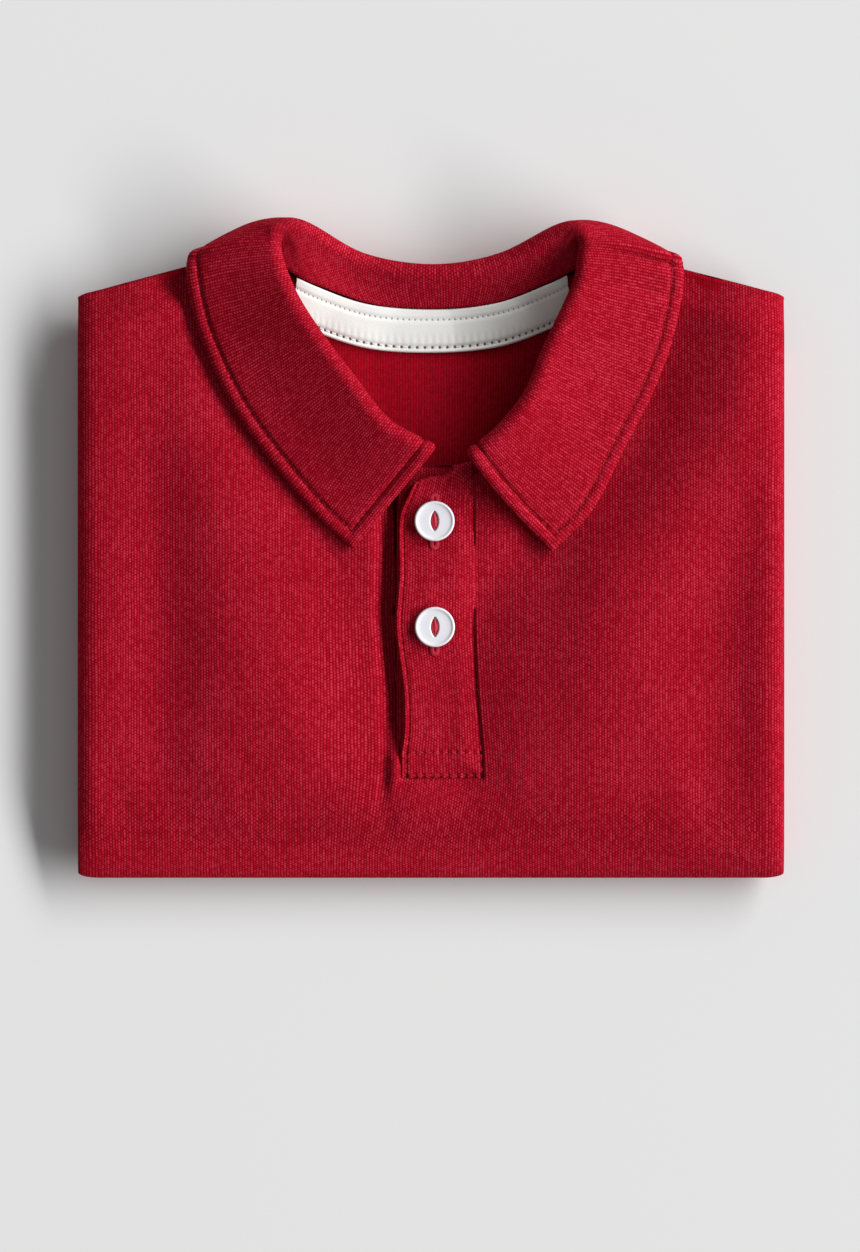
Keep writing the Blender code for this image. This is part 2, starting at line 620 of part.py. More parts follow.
def build_button(name, x, y, material):
    """A turned disc with a raised rim, a dished middle and a long thumb dip with two thread holes."""
    mesh = bmesh.new()
    verts = [mesh.verts.new((ring["radius"] * MM, 0.0, ring["height"] * MM)) for ring in BUTTON_PROFILE]
    edges = [mesh.edges.new(pair) for pair in zip(verts, verts[1:])]
    bmesh.ops.spin(mesh, geom=verts + edges, cent=(0, 0, 0), axis=(0, 0, 1), angle=math.tau, steps=24,
                   use_merge=True)
    bmesh.ops.remove_doubles(mesh, verts=mesh.verts, dist=1e-6)
    face_outwards(mesh)
    base = placket_face(x, y) + BUTTON_LIFT
    bmesh.ops.translate(mesh, verts=mesh.verts, vec=Vector((x, y, base)) * MM)
    button = add_object(name, mesh, material)
    dip = bmesh.new()
    bmesh.ops.create_uvsphere(dip, u_segments=16, v_segments=8, radius=1.0)
    bmesh.ops.scale(dip, vec=Vector(BUTTON_DIP) * MM, verts=dip.verts)
    bmesh.ops.translate(dip, verts=dip.verts, vec=Vector((x, y, base + BUTTON_DIP_HEIGHT)) * MM)
    boolean(button, f"{name}_dip", dip, "DIFFERENCE")
    for side in (-1, 1):
        hole = bmesh.new()
        bmesh.ops.create_cone(hole, cap_ends=True, segments=10, radius1=BUTTON_HOLE_RADIUS * MM,
                              radius2=BUTTON_HOLE_RADIUS * MM, depth=6.0 * MM)
        centre = Vector((x, y + side * BUTTON_HOLE_PITCH / 2, base + 1.0)) * MM
        bmesh.ops.translate(hole, verts=hole.verts, vec=centre)
        boolean(button, f"{name}_hole_{side}", hole, "DIFFERENCE")


def main():
    clear_scene()
    jersey = make_material("red_jersey")
    build_front(jersey)
    build_back(jersey)
    build_folded_layers(jersey)
    build_collar(jersey, jersey)
    build_tape(make_material("white_twill"))
    build_placket(jersey)
    white = make_material("white_button")
    for name, (x, y) in BUTTON_PLACES.items():
        build_button(name, x, y, white)


main()
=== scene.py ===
"""A child's folded long-sleeve polo shirt in crimson interlock jersey, on a plain studio surface.

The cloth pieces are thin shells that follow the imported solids, with finer creases, a stitched collar,
a buttoned placket, a stay-stitched neck tape and real threads. Form sizes below are in millimetres.
"""
import math
from bisect import bisect_right
from functools import lru_cache, partial
from itertools import accumulate

import bmesh
import bpy
from mathutils import Matrix, Vector, kdtree, noise
from mathutils.bvhtree import BVHTree


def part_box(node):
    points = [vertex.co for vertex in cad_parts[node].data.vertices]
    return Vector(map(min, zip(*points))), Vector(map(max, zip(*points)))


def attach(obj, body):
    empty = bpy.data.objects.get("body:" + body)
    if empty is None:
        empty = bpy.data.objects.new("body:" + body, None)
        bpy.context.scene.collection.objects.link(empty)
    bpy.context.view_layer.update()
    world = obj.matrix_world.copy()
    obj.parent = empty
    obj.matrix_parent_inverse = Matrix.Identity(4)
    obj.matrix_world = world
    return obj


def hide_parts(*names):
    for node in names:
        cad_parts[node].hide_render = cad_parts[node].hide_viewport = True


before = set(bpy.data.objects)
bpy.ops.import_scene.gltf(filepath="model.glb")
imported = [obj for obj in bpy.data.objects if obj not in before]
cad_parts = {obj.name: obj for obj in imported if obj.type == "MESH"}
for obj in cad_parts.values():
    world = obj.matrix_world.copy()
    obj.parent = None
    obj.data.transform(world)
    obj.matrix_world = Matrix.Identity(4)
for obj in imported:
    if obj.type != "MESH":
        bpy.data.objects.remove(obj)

bl_info = {
    "name": "Folded Polo Shirt",
    "version": (1, 0, 0),
    "blender": (4, 5, 0),
    "location": "View3D > Sidebar > Polo Shirt",
    "description": "Builds a folded knitted polo shirt and the surface it lies on",
    "category": "Add Mesh",
}

MM = 0.001
UP = Vector((0.0, 0.0, 1.0))


def table(columns, *rows):
    """Rows of values as dictionaries under the named columns."""
    return [dict(zip(columns.split(), row)) for row in rows]


def column_of(rows, name):
    """The values of one column of a table."""
    return [row[name] for row in rows]


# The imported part's sizes
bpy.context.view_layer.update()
FRONT_LOW, FRONT_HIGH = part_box("front_panel")
HALF_WIDTH = FRONT_HIGH.x / MM      # side fold to centre line
BOTTOM_Y = FRONT_LOW.y / MM         # nose of the bottom fold
BODY = "root"

# The folded bundle, mostly as in the solids
CLOTH = 1.2             # jersey wall of the body
PLY = 1.0               # the neck tape
COLLAR_PLY = 0.85       # one ply of the collar
GAP = 0.3               # clearance between pieces at a seam
STACK = 15.1            # top of the front above the surface it lies on
MIDDLE = STACK / 2
BOTTOM_REACH = 22.0     # length of the roll-off into the bottom fold
HEM_Y = 61.0            # hem of the folded-up lower half
SIDE_NOSE = 6.5         # width of the roll-off into a side fold
CORNER_INSET = 0.45     # how much the lower side of a side fold is drawn in at the bottom corners
LOBE = 7.4              # height of one folded half at the sides
FLAP = 14.0             # width of the cloth that returns behind a side fold
SHOULDER_Y = 78.2       # shoulder seam at the side fold
SHOULDER_SLOPE = 0.27
SHOULDER_DROOP = 4.0    # fall of the top layers at the shoulder seam
DROOP_REACH = 14.0      # distance from the seam over which they fall
SLACK = 2.3             # room between front and back under the placket
NECK_SINK = 3.1         # further sink of the back inside the neck
NECK_RISE = 4.6         # rise of the back towards both corners of the neck
NECK_CENTRE = (1.0, 54.0)
NECK_RADII = (46.0, 32.0)
BACK_HALF = 103.0       # half width of the back, inside the side folds
BACK_TOP = 88.0         # highest y of the back between the shoulders
NECKLINE_MARGIN = 1.7   # from the collar's seam out to the front's neckline
BACK_NECK_MARGIN = 1.5  # from the collar's seam down to the back's edge
NECK_CORNER = 57.5      # where the neckline meets the shoulder seam, across from the centre line
SLOT_HALF = 13.6        # nominal half width of the slot for the placket
SLOT_BOTTOM = -71.8
CLEAR_OF_COLLAR = -8.0  # y below which the front is free of the collar

# Collar
ROLL = 2.2              # radius of the collar's roll at mid-thickness
PLY_OFFSET = 0.15       # half of the gap between the collar's plies
STAND_SHARE = 0.28      # share of the collar's width up to the roll
ROLL_SHARE = 0.46       # share of the collar's width up to the fall
EDGE_ROUNDING = 1.5     # width over which both plies close at the collar's edge
EDGE_OUTER = 0.06       # half the collar's thickness at its very edge
EDGE_INNER = 0.02       # half of the gap between the plies there
EDGE_BEAD = 4.2         # edge to stitch line
BEAD_HEIGHT = 0.42      # swell of the cloth outside the stitch line
GROOVE_DEPTH = 0.62     # pull of the stitches, as deep as its half width
PUFF_HEIGHT = 0.22      # swell of the cloth inside the stitch line
COLLAR_STITCH = 2.7     # needle to needle

# Neck tape and placket
TAPE_WIDTH = 13.6
TAPE_REACH = 0.65       # from the collar's seam to the tape's top edge
TAPE_END = 16.0         # from the corner of the neck to the tape's end
# upper and lower seam: place below the top edge, needle to needle, radius of a needle hole, depth and
# half width of the groove that the thread pulls, and the thread's radius
TAPE_SEAMS = table(
    "row pitch hole depth spread thread",
    (3.4, 1.9, 0.3, 0.34, 0.7, 0.13),
    (12.0, 2.5, 0.42, 0.5, 0.75, 0.17),
)
TAPE_THREAD_SINK = 0.42 # middle of the thread below the tape's face
TWILL_ALONG = 0.5       # spacing of the twill's diagonals along the tape
TWILL_ACROSS = 0.62     # and across it
PLACKET_WALL = 1.6      # the folded strip with its facing
PLACKET_RISE = 0.45     # its face above the front
UNDERLAP_WALL = 1.2
UNDERLAP_LEFT = -10.6   # x of the under strip's left edge
UNDERLAP_WIDTH = 19.1
UNDERLAP_TOP = 25.5     # y of its upper end
UNDERLAP_FOOT = -70.0   # y of its lower end
UNDERLAP_DROP = 0.65    # gap below the top strip
BOX_TOP = -63.8         # upper stitch row of the box at the placket's foot
BOX_FOOT = -70.9        # lower stitch row of the box
BUTTON_PLACES = {"upper": (1.1, 8.1), "lower": (1.2, -24.8)}
BUTTONHOLE_LENGTH = 15.0
HIDDEN_HALF = 4.5       # half of the buttonhole's length that the button hides
SATIN_OFFSET = 0.85     # middle of a buttonhole stitch from the middle of the hole
SATIN_STITCH = (1.5, 0.2)
BUTTON_LIFT = 0.4       # back of a button above the placket
BUTTON_FACE = 1.95      # height of a button's dished face above its back
DIP_HALF_WIDTH = 1.3    # the eye-shaped dip in its face
DIP_HALF_LENGTH = 3.2
DIP_DEPTH = 0.95

# Knit, from the real cloth's gauge
WALE = 0.86             # spacing of the columns of stitches
COURSE = 0.88           # spacing of the rows of stitches

# Features in a metre of each fine pattern, and the real size that gives it
WANDER_SCALE = 90.0     # slack of the columns of stitches, 11 mm
FIBRE_SCALE = 2300.0    # tufts of fibre, 0.43 mm
CLOUD_SCALE = 38.0      # uneven dye, 26 mm
GRAIN_SCALE = 1800.0    # yarns of the tape, 0.56 mm
TWIST_SCALE = 2400.0    # twist of the sewing thread, 0.42 mm
PEARL_SCALE = 260.0     # cloud in the button's resin, 3.8 mm
POLISH_SCALE = 900.0    # polishing marks on the buttons, 1.1 mm
ROLLER_SCALE = 700.0    # roller marks in the paint, 1.4 mm

# Picture and light; the light's sizes and distance are in metres, its angles in degrees
FRAME_HEIGHT = 390.1    # height of the picture at the shirt
FRAME_CENTRE = (-0.3, -24.5)
LIGHT_DISTANCE = 16.0
LIGHT_ELEVATION = 30.8
LIGHT_TURN = 11.0       # from the right towards the back
LIGHT_WIDTH = 32.0
LIGHT_HEIGHT = 3.8

# Long folds down the front, close to those of the solids
FRONT_FOLDS = table(
    "x width height",
    (-103.5, 7.0, 0.5),         # left side ridge
    (-84.0, 11.0, -0.8),        # left trough
    (-54.0, 17.0, 0.7),         # left ridge
    (-17.0, 6.0, -0.7),         # fold beside the placket
    (10.0, 12.0, -0.9),         # right trough
    (55.0, 16.0, 0.9),          # right ridge
    (88.0, 8.0, -0.5),          # right dip
)

# Soft folds of the front beyond the solids, each followed down the shirt, with the columns
# y, x, height, reach to the left and reach to the right
SOFT_FOLDS = {
    "ridge from the right shoulder": (
        (84, 101, 1.2, 14, 7), (58, 97, 2.2, 16, 8), (33, 92, 2.6, 17, 13), (9, 79, 2.4, 20, 18),
        (-16, 62, 2.1, 24, 20), (-41, 55, 2.0, 24, 22), (-66, 52, 1.2, 20, 24),
        (-86, 50, 0.0, 18, 20)),
    "hollow along the right collar": (
        (84, 77, -3.6, 10, 12), (58, 69, -4.8, 11, 14), (33, 58, -5.2, 12, 17),
        (9, 43, -4.8, 13, 20), (-10, 24, -3.1, 14, 24), (-34, 10, -2.3, 18, 25),
        (-66, 8, -1.2, 18, 20), (-86, 8, 0.0, 18, 18)),
    "dip inside the right side fold": (
        (40, 99, 0.0, 9, 5), (0, 96, -0.9, 12, 6), (-30, 95, -1.2, 14, 6), (-66, 95, -1.0, 14, 6),
        (-92, 95, 0.0, 12, 6)),
    "hollow under the placket": (
        (40, 2, -0.3, 20, 18), (20, 2, -0.8, 22, 20), (-8, 1, -1.2, 26, 22),
        (-45, 1, -1.2, 26, 22), (-66, 2, -0.8, 24, 20), (-84, 3, 0.0, 22, 18)),
    "ridge from the left shoulder": (
        (84, -93, 0.5, 9, 9), (58, -90, 0.9, 10, 12), (33, -80, 1.3, 13, 13),
        (9, -70, 1.6, 18, 15), (-16, -62, 1.8, 22, 18), (-41, -54, 1.7, 24, 18),
        (-66, -43, 1.2, 24, 16), (-86, -32, 0.0, 20, 14)),
    "hollow along the left collar and placket": (
        (84, -75, -1.2, 9, 8), (58, -66, -1.7, 10, 8), (33, -53, -1.9, 12, 9),
        (9, -37, -2.0, 14, 10), (-10, -27, -2.2, 15, 12), (-40, -22, -2.4, 15, 12),
        (-58, -20, -1.8, 13, 10), (-74, -18, -0.3, 10, 8), (-86, -16, 0.0, 10, 8)),
    "trough inside the left side fold": (
        (84, -89, 0.0, 7, 9), (60, -88, -0.5, 7, 9), (30, -86, -0.9, 8, 10),
        (-20, -85, -1.0, 9, 11), (-60, -85, -0.8, 9, 12), (-92, -84, 0.0, 9, 12)),
    "sag of the bottom": (
        (-64, -20, 0.0, 120, 90), (-77, -20, -0.5, 120, 90), (-86, -20, -2.7, 120, 90),
        (-93, -20, -5.4, 120, 90), (-104, -20, -7.0, 120, 90)),
    "sunk edge of the left side": (
        (84, -107, -0.6, 8, 10), (30, -107, -0.9, 8, 10), (-50, -107, -0.8, 8, 10),
        (-96, -107, -0.3, 8, 10)),
}

# Fine creases, each from start to end, bowed sideways by bend
CREASES = table(
    "start end bend width height",
    ((-40.0, 4.0), (-47.0, -30.0), -3.0, 5.0, 0.3),         # drag from the left collar point
    ((-101.0, -66.0), (-88.0, -97.0), 1.5, 5.0, -0.5),      # low left drag
    ((-74.0, -60.0), (-58.0, -92.0), -2.0, 7.0, 0.35),      # low left swell
    ((72.0, -48.0), (82.0, -90.0), 2.0, 8.0, 0.35),         # low right swell
    ((26.0, -66.0), (44.0, -86.0), 2.0, 6.0, 0.3),          # pull across the low right
    ((-14.6, -58.0), (-15.4, -80.0), -0.8, 1.7, -0.8),      # crease left of the pucker
    ((-11.6, -65.0), (-11.8, -75.0), 0.0, 1.6, 0.9),        # pucker beside the box
    ((-9.0, -75.0), (-14.0, -90.0), 1.0, 2.4, -0.3),        # pull under the box
)

# Cross-sections of the collar, from its left front end round the back to its right front end: neck seam,
# middle of the roll, compass angle of the fall in degrees, outer edge (its z is from the front's face, or
# from the stack's top at the back) and the way in which the fall comes down to the edge
COLLAR_SECTIONS = table(
    "seam roll out edge lead",
    ((-1.8, 26.6, 14.6), (-0.2, 28.7, 21.2), 231, (-24.3, -0.7, 1.4), (9.5, 11.6, 1.6)),
    ((-17.4, 33.6, 14.2), (-14.6, 37.1, 22.8), 231, (-36.2, 10.5, 1.4), (8.7, 10.7, 2.4)),
    ((-30.5, 46.6, 14.1), (-25.7, 50.6, 23.4), 218, (-51.8, 29.5, 1.4), (10.5, 8.4, 3.0)),
    ((-41.5, 58.2, 14.0), (-35.1, 63.0, 23.4), 216, (-62.1, 44.7, 1.4), (10.8, 7.3, 3.2)),
    ((-49.6, 72.0, 13.7), (-43.2, 75.3, 22.9), 206, (-71.2, 64.2, 1.4), (11.0, 4.5, 3.2)),
    ((-52.3, 83.0, 13.6), (-47.4, 84.6, 21.5), 192, (-75.0, 78.0, 1.5), (9.5, 3.2, 3.0)),
    ((-51.6, 87.4, 15.6), (-49.2, 90.6, 21.3), 182, (-75.8, 86.4, 2.2), (5.0, 1.5, 3.0)),
    ((-49.6, 88.6, 17.4), (-49.4, 95.0, 21.0), 172, (-73.8, 90.9, -3.0), (0.8, 0.8, 5.5)),
    ((-45.0, 86.4, 17.0), (-47.0, 98.8, 20.6), 145, (-63.0, 88.0, -12.8), (-3.0, 9.5, 2.0)),
    ((-36.5, 82.0, 15.2), (-39.7, 98.2, 18.8), 88, (-44.0, 78.0, -13.1), (0.0, 18.5, 0.5)),
    ((-19.0, 76.2, 9.4), (-21.5, 88.5, 11.4), 76, (-21.0, 71.0, -13.1), (0.0, 16.5, 0.0)),
    ((1.0, 74.9, 8.5), (0.5, 85.0, 11.0), 90, (0.0, 69.5, -13.1), (0.0, 15.0, 0.0)),
    ((20.0, 76.6, 9.6), (21.5, 88.3, 12.6), 104, (21.0, 71.0, -13.1), (0.0, 16.5, 0.0)),
    ((37.0, 82.6, 14.0), (39.7, 97.2, 17.6), 92, (44.0, 77.5, -13.1), (0.0, 18.0, 0.5)),
    ((45.0, 86.6, 16.4), (46.2, 98.2, 20.4), 35, (64.0, 87.4, -12.8), (3.0, 9.0, 2.0)),
    ((49.6, 88.2, 17.0), (48.9, 94.6, 21.0), 8, (76.6, 89.6, -3.0), (-0.8, 0.8, 5.5)),
    ((51.6, 86.6, 15.2), (48.4, 89.4, 21.3), 0, (78.4, 84.6, 2.2), (-5.0, 1.5, 3.0)),
    ((52.6, 81.0, 13.4), (47.4, 82.6, 21.5), -12, (77.6, 76.0, 1.5), (-10.0, 3.0, 3.0)),
    ((50.3, 70.5, 13.7), (43.3, 72.9, 22.2), -26, (74.3, 62.0, 1.4), (-11.0, 4.4, 3.0)),
    ((45.3, 59.5, 14.0), (37.4, 60.5, 22.6), -25, (69.0, 48.1, 1.4), (-11.5, 5.0, 3.0)),
    ((38.5, 45.5, 14.1), (31.5, 46.6, 23.6), -28, (60.4, 31.2, 1.4), (-11.0, 6.0, 2.8)),
    ((25.5, 32.0, 15.2), (21.7, 34.4, 23.2), -45, (49.8, 11.0, 1.4), (-10.5, 9.0, 2.2)),
    ((13.8, 24.2, 17.4), (12.5, 26.9, 21.8), -55, (37.6, -1.6, 1.4), (-9.0, 9.0, 1.4)),
)
LEFT_NECK_ROW, RIGHT_NECK_ROW = 7, 15   # sections at the corners of the neck

# The placket from its foot up
PLACKET_ROWS = table(
    "y left right slant",
    (-71.72, -9.4, 16.2, 0.0), (-64.0, -9.4, 15.8, 0.0), (-57.0, -8.6, 15.3, 0.0),
    (-44.0, -8.8, 14.2, 0.0), (-25.0, -11.1, 13.4, 0.0), (-8.0, -10.1, 13.3, 0.0),
    (3.0, -10.3, 13.2, 0.0), (10.0, -9.8, 13.2, 1.5), (16.0, -7.3, 13.1, 4.0), (20.1, -5.4, 13.0, 5.5),
)
PLACKET_FOOT, PLACKET_TOP = PLACKET_ROWS[0]["y"], PLACKET_ROWS[-1]["y"]

# Free left edge of the slot in the front from below, where it runs out
SLOT_ROWS = table(
    "y left",
    (-96.0, -13.6), (-71.8, -9.55), (-60.0, -9.5), (-45.0, -9.7), (-20.0, -11.3), (5.0, -10.9),
    (24.0, -12.0),
)

# Hidden layers of the lower half, bottom first
LOWER_LAYERS = table(
    "low high half_width back front",
    (1.5, 3.4, 104.0, 57.5, -86.0),
    (3.7, 5.7, 102.5, 54.5, -88.0),
)
UPPER_LAYER_LOW = 6.1
UPPER_LAYER_COUNT = 3

# Half outline of a button as radius and height, from the middle of its back round to its dished face
BUTTON_PROFILE = (
    (0.0, 0.0), (2.4, 0.0), (4.4, 0.02), (5.3, 0.2), (5.95, 0.62), (6.22, 1.15), (6.25, 1.7),
    (6.2, 2.0), (6.04, 2.24), (5.82, 2.32), (5.58, 2.28), (5.34, 2.14), (5.1, 2.04), (4.6, 1.98),
    (3.7, 1.95),
)


# --- settings ---

def srgb(code, alpha=1.0):
    """An sRGB hex colour as linear values."""
    def linear(pair):
        value = int(pair, 16) / 255.0
        return value / 12.92 if value <= 0.04045 else ((value + 0.055) / 1.055) ** 2.4
    return (linear(code[1:3]), linear(code[3:5]), linear(code[5:7]), alpha)


def length_property(name, description, default, low, high):
    """A length, given here in millimetres."""
    return bpy.props.FloatProperty(name=name, description=description, default=default * MM, min=low * MM,
                                   max=high * MM, unit="LENGTH", subtype="DISTANCE", precision=5)


def colour_property(name, description, code):
    """A colour, given as sRGB hex."""
    return bpy.props.FloatVectorProperty(name=name, description=description, default=srgb(code), size=4,
                                         min=0.0, max=1.0, subtype="COLOR")


class JerseySettings(bpy.types.PropertyGroup):
    """The knitted cloth of the body, collar and placket."""
    wale: length_property("Wale spacing", "Distance between columns of stitches", WALE, 0.3, 3.0)
    course: length_property("Course spacing", "Distance between rows of stitches", COURSE, 0.3, 3.0)
    relief: length_property("Stitch relief", "Depth between two columns of stitches", 0.07, 0.0, 1.0)
    colour: colour_property("Jersey", "Colour of the dyed cotton", "#B90F27")
    # painted shade: the colour of the dark valleys between the stitches
    shade: colour_property("Jersey shade", "Colour between the stitches", "#7A0412")
    # loose fibres on top, with a painted sheen where they catch the light
    fluff_sheen: colour_property("Jersey fluff", "Colour of the loose fibres on top", "#D04A64")


class TrimSettings(bpy.types.PropertyGroup):
    """Tape, threads and buttons."""
    tape: colour_property("Tape", "Colour of the cotton neck tape", "#ECEDE9")
    dark_thread: colour_property("Seam thread", "Colour of the thread of the edge stitching", "#A01026")
    red_thread: colour_property("Button thread", "Colour of the thread at the buttons", "#CC2A44")
    white_thread: colour_property("White thread", "Colour of the sewing thread on the tape", "#E9E6E2")
    button: colour_property("Button", "Colour of the button resin", "#F0F0F2")


class StageSettings(bpy.types.PropertyGroup):
    """Surface, lights and camera."""
    floor: colour_property("Surface", "Colour of the surface", "#E6E6E6")
    key_power: bpy.props.FloatProperty(name="Window light", default=5980.0, min=0.0, unit="POWER",
                                       description="Power of the low light at the right")
    fill: bpy.props.FloatProperty(name="Fill", description="Strength of the even light from all round",
                                  default=0.2, min=0.0)
    lens: bpy.props.FloatProperty(name="Lens", description="Focal length of the camera", default=220.0,
                                  min=20.0, unit="CAMERA", subtype="DISTANCE_CAMERA")


# --- numbers ---

def ramp(start, end, x):
    """0 before start, 1 after end, and a smooth rise between them."""
    t = min(1.0, max(0.0, (x - start) / (end - start)))
    return t * t * (3.0 - 2.0 * t)


def bell(away):
    """A hump of height 1 in the middle that fades out by about 2 on both sides."""
    return math.exp(-away ** 2)


def rounded(distance, reach):
    """Share of the full thickness at a distance from an edge that is rounded over a reach."""
    return math.sqrt(max(0.0, 1.0 - (1.0 - min(1.0, distance / reach)) ** 2))


def steps(start, end, count):
    """count + 1 evenly spaced numbers from start to end."""
    return [start + (end - start) * i / count for i in range(count + 1)]


def chain(stops, counts):
    """Evenly spaced numbers between each pair of stops, without repeats."""
    values = [stops[0]]
    for start, end, count in zip(stops, stops[1:], counts):
        values += steps(start, end, count)[1:]
    return values


def smooth(keys, values, at):
    """A smooth curve through values at rising keys, for numbers or vectors."""
    last = len(keys) - 1
    i = min(last - 1, max(0, bisect_right(keys, at, 1, last) - 1))
    before, after = max(0, i - 1), min(last, i + 2)
    span = keys[i + 1] - keys[i]
    t = (at - keys[i]) / span
    slope_in = (values[i + 1] - values[before]) * (span / (keys[i + 1] - keys[before]))
    slope_out = (values[after] - values[i]) * (span / (keys[after] - keys[i]))
    t2, t3 = t * t, t * t * t
    return (values[i] * (2 * t3 - 3 * t2 + 1) + slope_in * (t3 - 2 * t2 + t)
            + values[i + 1] * (3 * t2 - 2 * t3) + slope_out * (t3 - t2))


def linear(keys, values, at):
    """Straight lines through values at rising keys."""
    i = min(len(keys) - 2, max(0, bisect_right(keys, at) - 1))
    t = min(1.0, max(0.0, (at - keys[i]) / (keys[i + 1] - keys[i])))
    return values[i] + (values[i + 1] - values[i]) * t


# --- surfaces of the bundle ---

def shoulder_line(across):
    """y of the shoulder seam at a distance across the cloth from the centre line."""
    return SHOULDER_Y + SHOULDER_SLOPE * (HALF_WIDTH - abs(across))


def folds(x, y):
    """Height of the long folds that run down the front."""
    height = sum(fold["height"] * bell((x - fold["x"]) / fold["width"]) for fold in FRONT_FOLDS)
    return height * ramp(-98.0, -70.0, y) * ramp(88.0, 60.0, y)


def crease_height(crease, x, y):
    """Height of one fine crease."""
    (x0, y0), (x1, y1) = crease["start"], crease["end"]
    dx, dy = x1 - x0, y1 - y0
    length = math.hypot(dx, dy)
    t = ((x - x0) * dx + (y - y0) * dy) / (length * length)
    if not -0.35 < t < 1.35:
        return 0.0
    side = ((x - x0) * dy - (y - y0) * dx) / length - crease["bend"] * 4.0 * t * (1.0 - t)
    return crease["height"] * bell(side / crease["width"]) * ramp(-0.35, 0.3, t) * ramp(1.35, 0.7, t)


@lru_cache(maxsize=None)
def fold_row(name, y):
    """Centre, height and reaches of a soft fold at a height y up the shirt."""
    rows = SOFT_FOLDS[name][::-1]
    return smooth([row[0] for row in rows], [Vector(row[1:]) for row in rows], y)


def fold_height(name, x, y):
    """Height of one soft fold."""
    top, end = SOFT_FOLDS[name][0][0], SOFT_FOLDS[name][-1][0]
    if y <= end:
        return 0.0
    centre, height, left, right = fold_row(name, min(y, top))
    return height * bell((x - centre) / (left if x < centre else right))


def soft_folds(x, y):
    """Height of all the soft folds."""
    return sum(fold_height(name, x, y) for name in SOFT_FOLDS)


def waves(x, y):
    """Height of the fine creases and a slight waviness of soft cloth."""
    height = sum(crease_height(crease, x, y) for crease in CREASES)
    height += noise.noise(Vector((x / 26.0, y / 34.0, 0.4))) * 0.35
    height += noise.noise(Vector((x / 9.0, y / 12.0, 3.1))) * 0.08
    return height * ramp(HALF_WIDTH + 1.0, HALF_WIDTH - 9.0, abs(x))


def creases(x, y):
    """Height of the soft folds and the finer creases."""
    return waves(x, y) + soft_folds(x, y)


def droop(across, y):
    """How far the top layers hang down near the shoulder seam."""
    inside = shoulder_line(min(abs(across), HALF_WIDTH + 2.0)) - y
    return SHOULDER_DROOP * (1.0 - ramp(0.0, DROOP_REACH, inside))


def base_top(x, y):
    """Height of the front's face in the solids."""
    return STACK + folds(x, y) - droop(x, y)


def placket_gap(x, y):
    """How far the left front rolls down into the gap beside the placket."""
    edge = slot_left(y)
    reach = ramp(-67.0, -53.0, y) * ramp(40.0, 26.0, y)
    return 4.0 * reach * ramp(edge - 8.5, edge - 0.2, x) * ramp(edge + 8.0, edge + 3.0, x)


def back_top(x, y):
    """Height of the back's inner face, which shows inside the neck."""
    middle = ramp(96.0, 74.0, abs(x)) * ramp(-92.0, -78.0, y) * ramp(0.0, 9.0, shoulder_line(x) - y)
    away = math.hypot((x - NECK_CENTRE[0]) / NECK_RADII[0], (y - NECK_CENTRE[1]) / NECK_RADII[1])
    sink = NECK_SINK * ramp(1.35, 0.95, away)
    outside = ramp(0.9, 1.3, away)
    top = base_top(x, y) - folds(x, y) * 0.5 - CLOTH - GAP - 0.3 - SLACK * middle - sink * middle
    rise = NECK_RISE * ramp(6.0, 46.0, abs(x - NECK_CENTRE[0])) * ramp(50.0, 82.0, y)
    rise *= 0.4 + 0.6 * ramp(54.0, 48.0, abs(x))
    room = (SLACK - 0.4) * middle * ramp(19.0, 28.0, abs(x - 2.0))
    return top + rise + min(0.0, creases(x, y) + room) * outside - placket_gap(x, y) * 0.65 * outside


@lru_cache(maxsize=None)
def slot_left(y):
    """x of the slot's left edge, a free fold."""
    return linear(column_of(SLOT_ROWS, "y"), column_of(SLOT_ROWS, "left"), y)


@lru_cache(maxsize=None)
def slot_right(y):
    """x of the slot's right edge, along the placket's seam."""
    seam = placket_edges(y)[1] + 0.02 + 0.06 * ramp(-30.0, -45.0, y)
    return seam + (SLOT_HALF - seam) * ramp(SLOT_BOTTOM, -96.0, y)


# --- meshes ---

def cloth_wall(columns, rows, place, cloth_uv, keep=None, rim=0.14):
    """A closed wall of cloth on a grid, with rounded rims.

    place(column, row) gives the outer and the inner point in millimetres, cloth_uv(column, row) the
    place on the flat cloth, and keep(column, row, next_row) says which grid cells stay.
    """
    mesh = bmesh.new()
    last_column, last_row = len(columns) - 1, len(rows) - 1
    bmesh.ops.create_grid(mesh, x_segments=last_column, y_segments=last_row, size=1.0)

    def grid_index(co):
        return int(round((co.x + 1.0) * last_column) / 2), int(round((co.y + 1.0) * last_row) / 2)

    if keep is not None:
        gone = []
        for face in mesh.faces:
            i, j = grid_index(face.calc_center_median())
            if not keep((columns[i] + columns[i + 1]) / 2, rows[j], rows[j + 1]):
                gone.append(face)
        bmesh.ops.delete(mesh, geom=gone, context="FACES")
    extruded = bmesh.ops.extrude_face_region(mesh, geom=list(mesh.faces), use_keep_orig=True)["geom"]
    for item in extruded:
        if isinstance(item, bmesh.types.BMVert):
            item.co.z = 1.0
    uv_layer = mesh.loops.layers.uv.new("cloth")
    upright = {face for face in mesh.faces if len({vert.co.z for vert in face.verts}) > 1}
    rims = [edge for edge in mesh.edges if edge.verts[0].co.z == edge.verts[1].co.z
            and len(edge.link_faces) == 2 and not upright.isdisjoint(edge.link_faces)]
    placed = {}
    for vert in mesh.verts:
        i, j = grid_index(vert.co)
        if (i, j) not in placed:
            placed[i, j] = *place(columns[i], rows[j]), Vector(cloth_uv(columns[i], rows[j])) * MM
        outer, inner, uv = placed[i, j]
        for loop in vert.link_loops:
            loop[uv_layer].uv = uv
        vert.co = (inner if vert.co.z > 0.5 else outer) * MM
    if rim > 0.0:
        bmesh.ops.bevel(mesh, geom=rims, offset=rim * MM, segments=2, affect="EDGES", profile=0.5,
                        material=-1, clamp_overlap=True)
    face_outwards(mesh)
    return mesh


